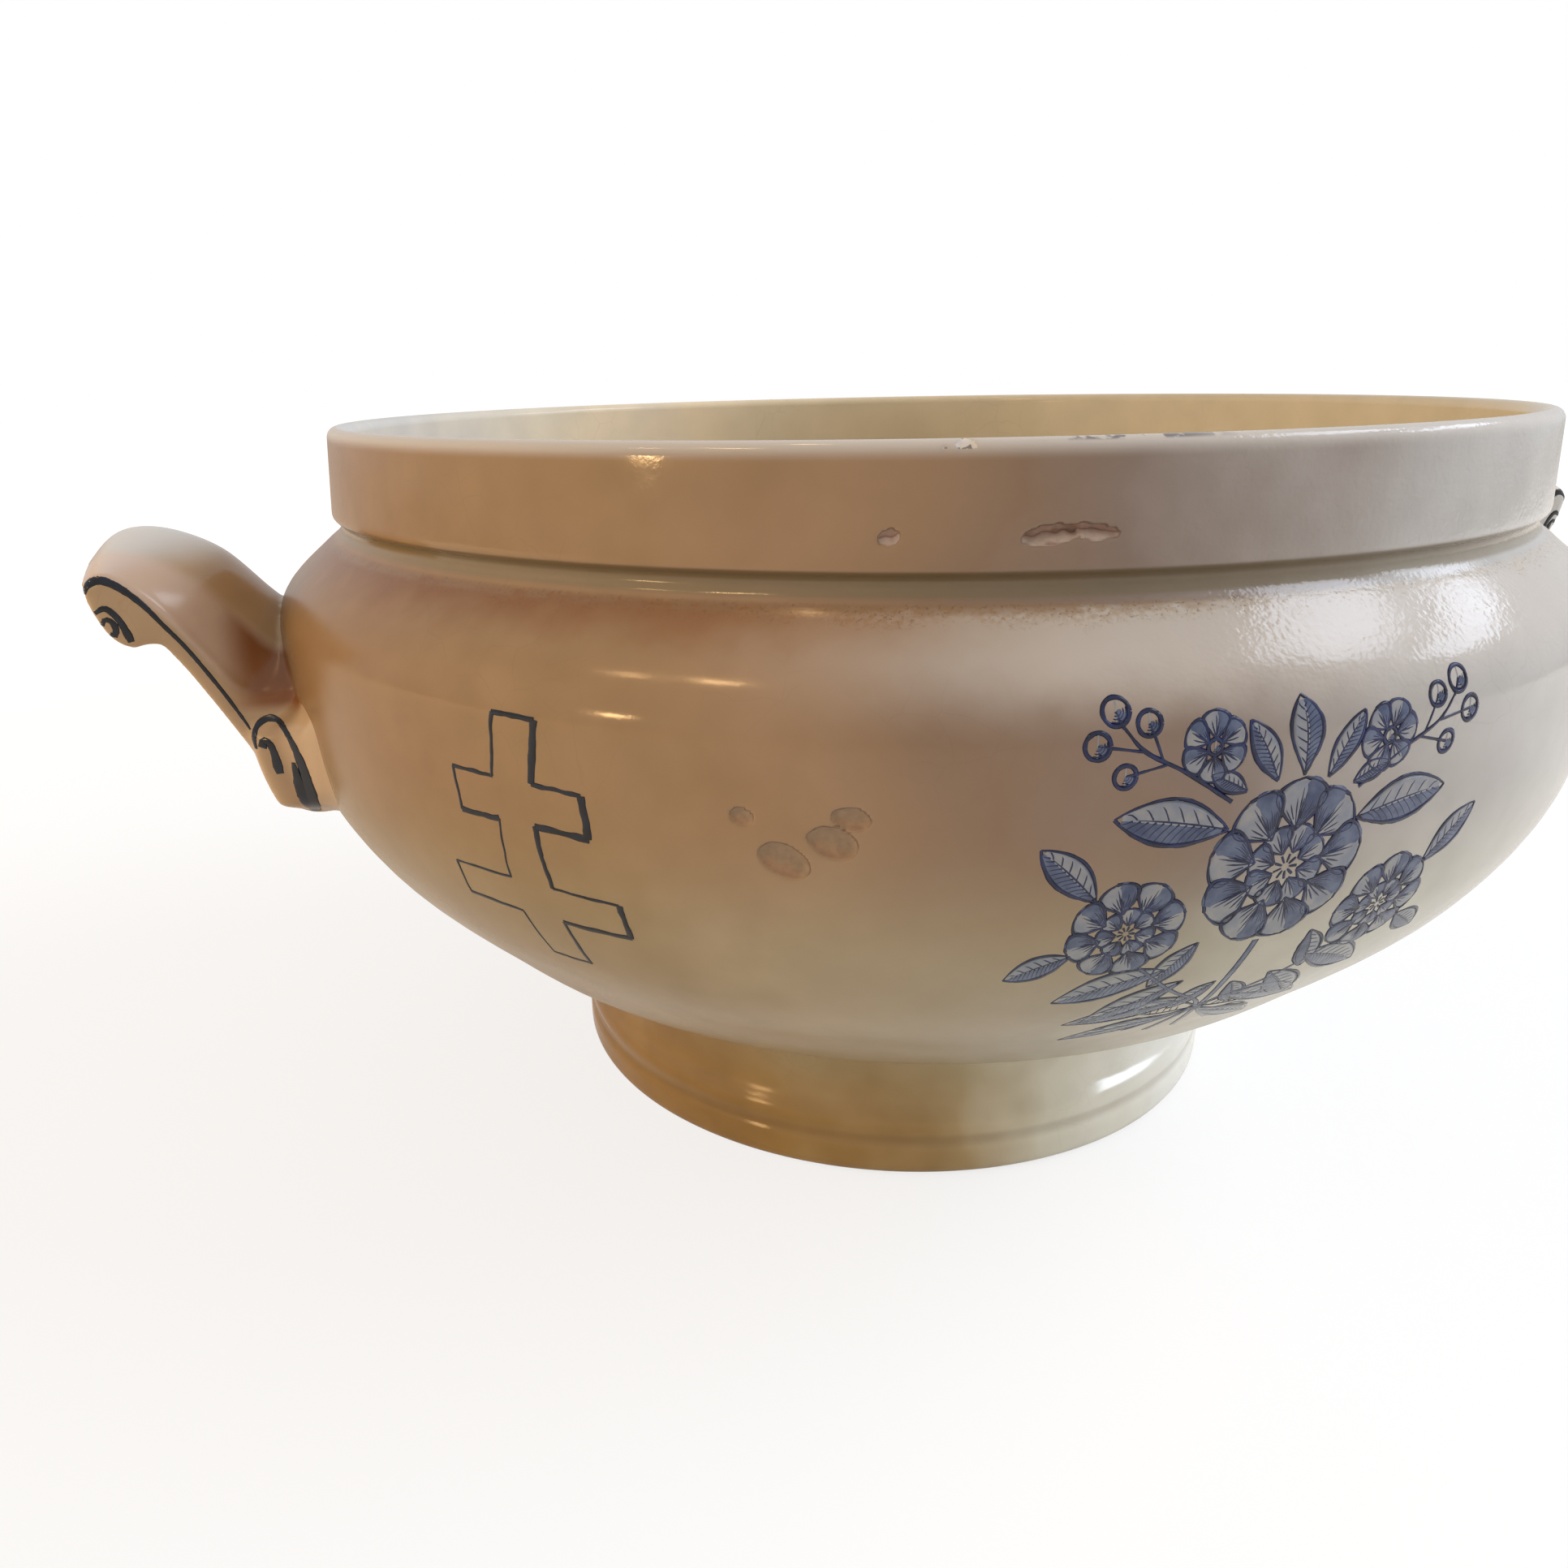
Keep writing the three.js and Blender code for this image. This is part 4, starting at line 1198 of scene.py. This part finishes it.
tree.links.new(shown.outputs[0], output.inputs[0])
floor_mesh.materials.append(floor_material)

# %% [markdown]
# The surround is white to the camera and softer as light. Two cool soft boxes at the right
# play the window's panes, two wide lamps only tint the sides, warm at the left and cool at
# the right, and four small warm lamps give nothing but glints. Two low ones do that for the
# foot ring alone, by light linking, so that they add no glint to the body.

# %% World and lamps
world = bpy.data.worlds.new("white_surround")
bpy.context.scene.world = world
world.use_nodes = True
tree = world.node_tree
tree.nodes.clear()
seen = add(tree, "LightPath").outputs
mirrored = add(tree, "Math", {0: seen["Is Glossy Ray"], 1: seen["Is Transmission Ray"]},
               operation="MAXIMUM")
shown = add(tree, "Background", {"Color": linear("#FFF8F0"), "Strength": 0.50})
for ray, strength in ((mirrored.outputs[0], 0.65), (seen["Is Camera Ray"], 1.0)):
    white = add(tree, "Background", {"Color": (1, 1, 1, 1), "Strength": strength})
    shown = add(tree, "MixShader", {0: ray, 1: shown.outputs[0], 2: white.outputs[0]})
tree.links.new(shown.outputs[0], add(tree, "OutputWorld").inputs[0])


# Area lamps that face the bowl: azimuth (0 is straight in front, 90 at +X), elevation,
# distance, width, height, power and colour, and the rays that don't see the lamp.
WINDOW, LAMP = "#E4EEFF", "#FFCE8E"
foot_only = bpy.data.collections.new("foot_only")
foot_only.objects.link(foot_piece)
for name, azimuth, elevation, distance, width, height, power, colour, unseen in (
        ("window_upper_pane", 76, 45.5, 1.1, 0.42, 0.26, 1.4, WINDOW, ""),
        ("window_lower_pane", 84, 29, 1.1, 0.46, 0.14, 0.72, WINDOW, ""),
        ("warm_room_light", -102, 20, 1.8, 1.4, 1.0, 24.0, "#FFE3BF", "glossy"),
        ("cool_day_light", 80, 32, 1.8, 1.4, 1.0, 30.0, "#EAF1FF", "glossy"),
        ("warm_lamp_1", -65, 9, 0.8, 0.05, 0.03, 0.24, LAMP, "diffuse"),
        ("warm_lamp_2", -62, 52, 0.8, 0.09, 0.03, 0.30, LAMP, "diffuse"),
        ("warm_lamp_3", -79, 48, 0.8, 0.04, 0.03, 0.10, LAMP, "diffuse"),
        ("warm_lamp_4", -102, 80, 0.8, 0.05, 0.03, 0.12, LAMP, "diffuse"),
        ("foot_window_glint", 68, -0.9, 1.1, 0.75, 0.15, 5.0, WINDOW, "diffuse"),
        ("foot_lamp_glint", -64, -0.9, 1.1, 0.10, 0.15, 0.55, LAMP, "diffuse")):
    data = bpy.data.lights.new(name, "AREA")
    data.shape, data.energy, data.color = "RECTANGLE", power, linear(colour)[:3]
    data.size, data.size_y = width, height
    lamp = in_scene(name, data)
    a, e = math.radians(azimuth), math.radians(elevation)
    way = Vector((math.cos(e) * math.sin(a), -math.cos(e) * math.cos(a), math.sin(e)))
    lamp.location = Vector((0, 0, 0.1)) + way * distance
    lamp.rotation_euler = way.to_track_quat("Z", "Y").to_euler()
    if unseen:
        setattr(lamp, "visible_" + unseen, False)
    if name.startswith("foot"):
        lamp.light_linking.receiver_collection = foot_only
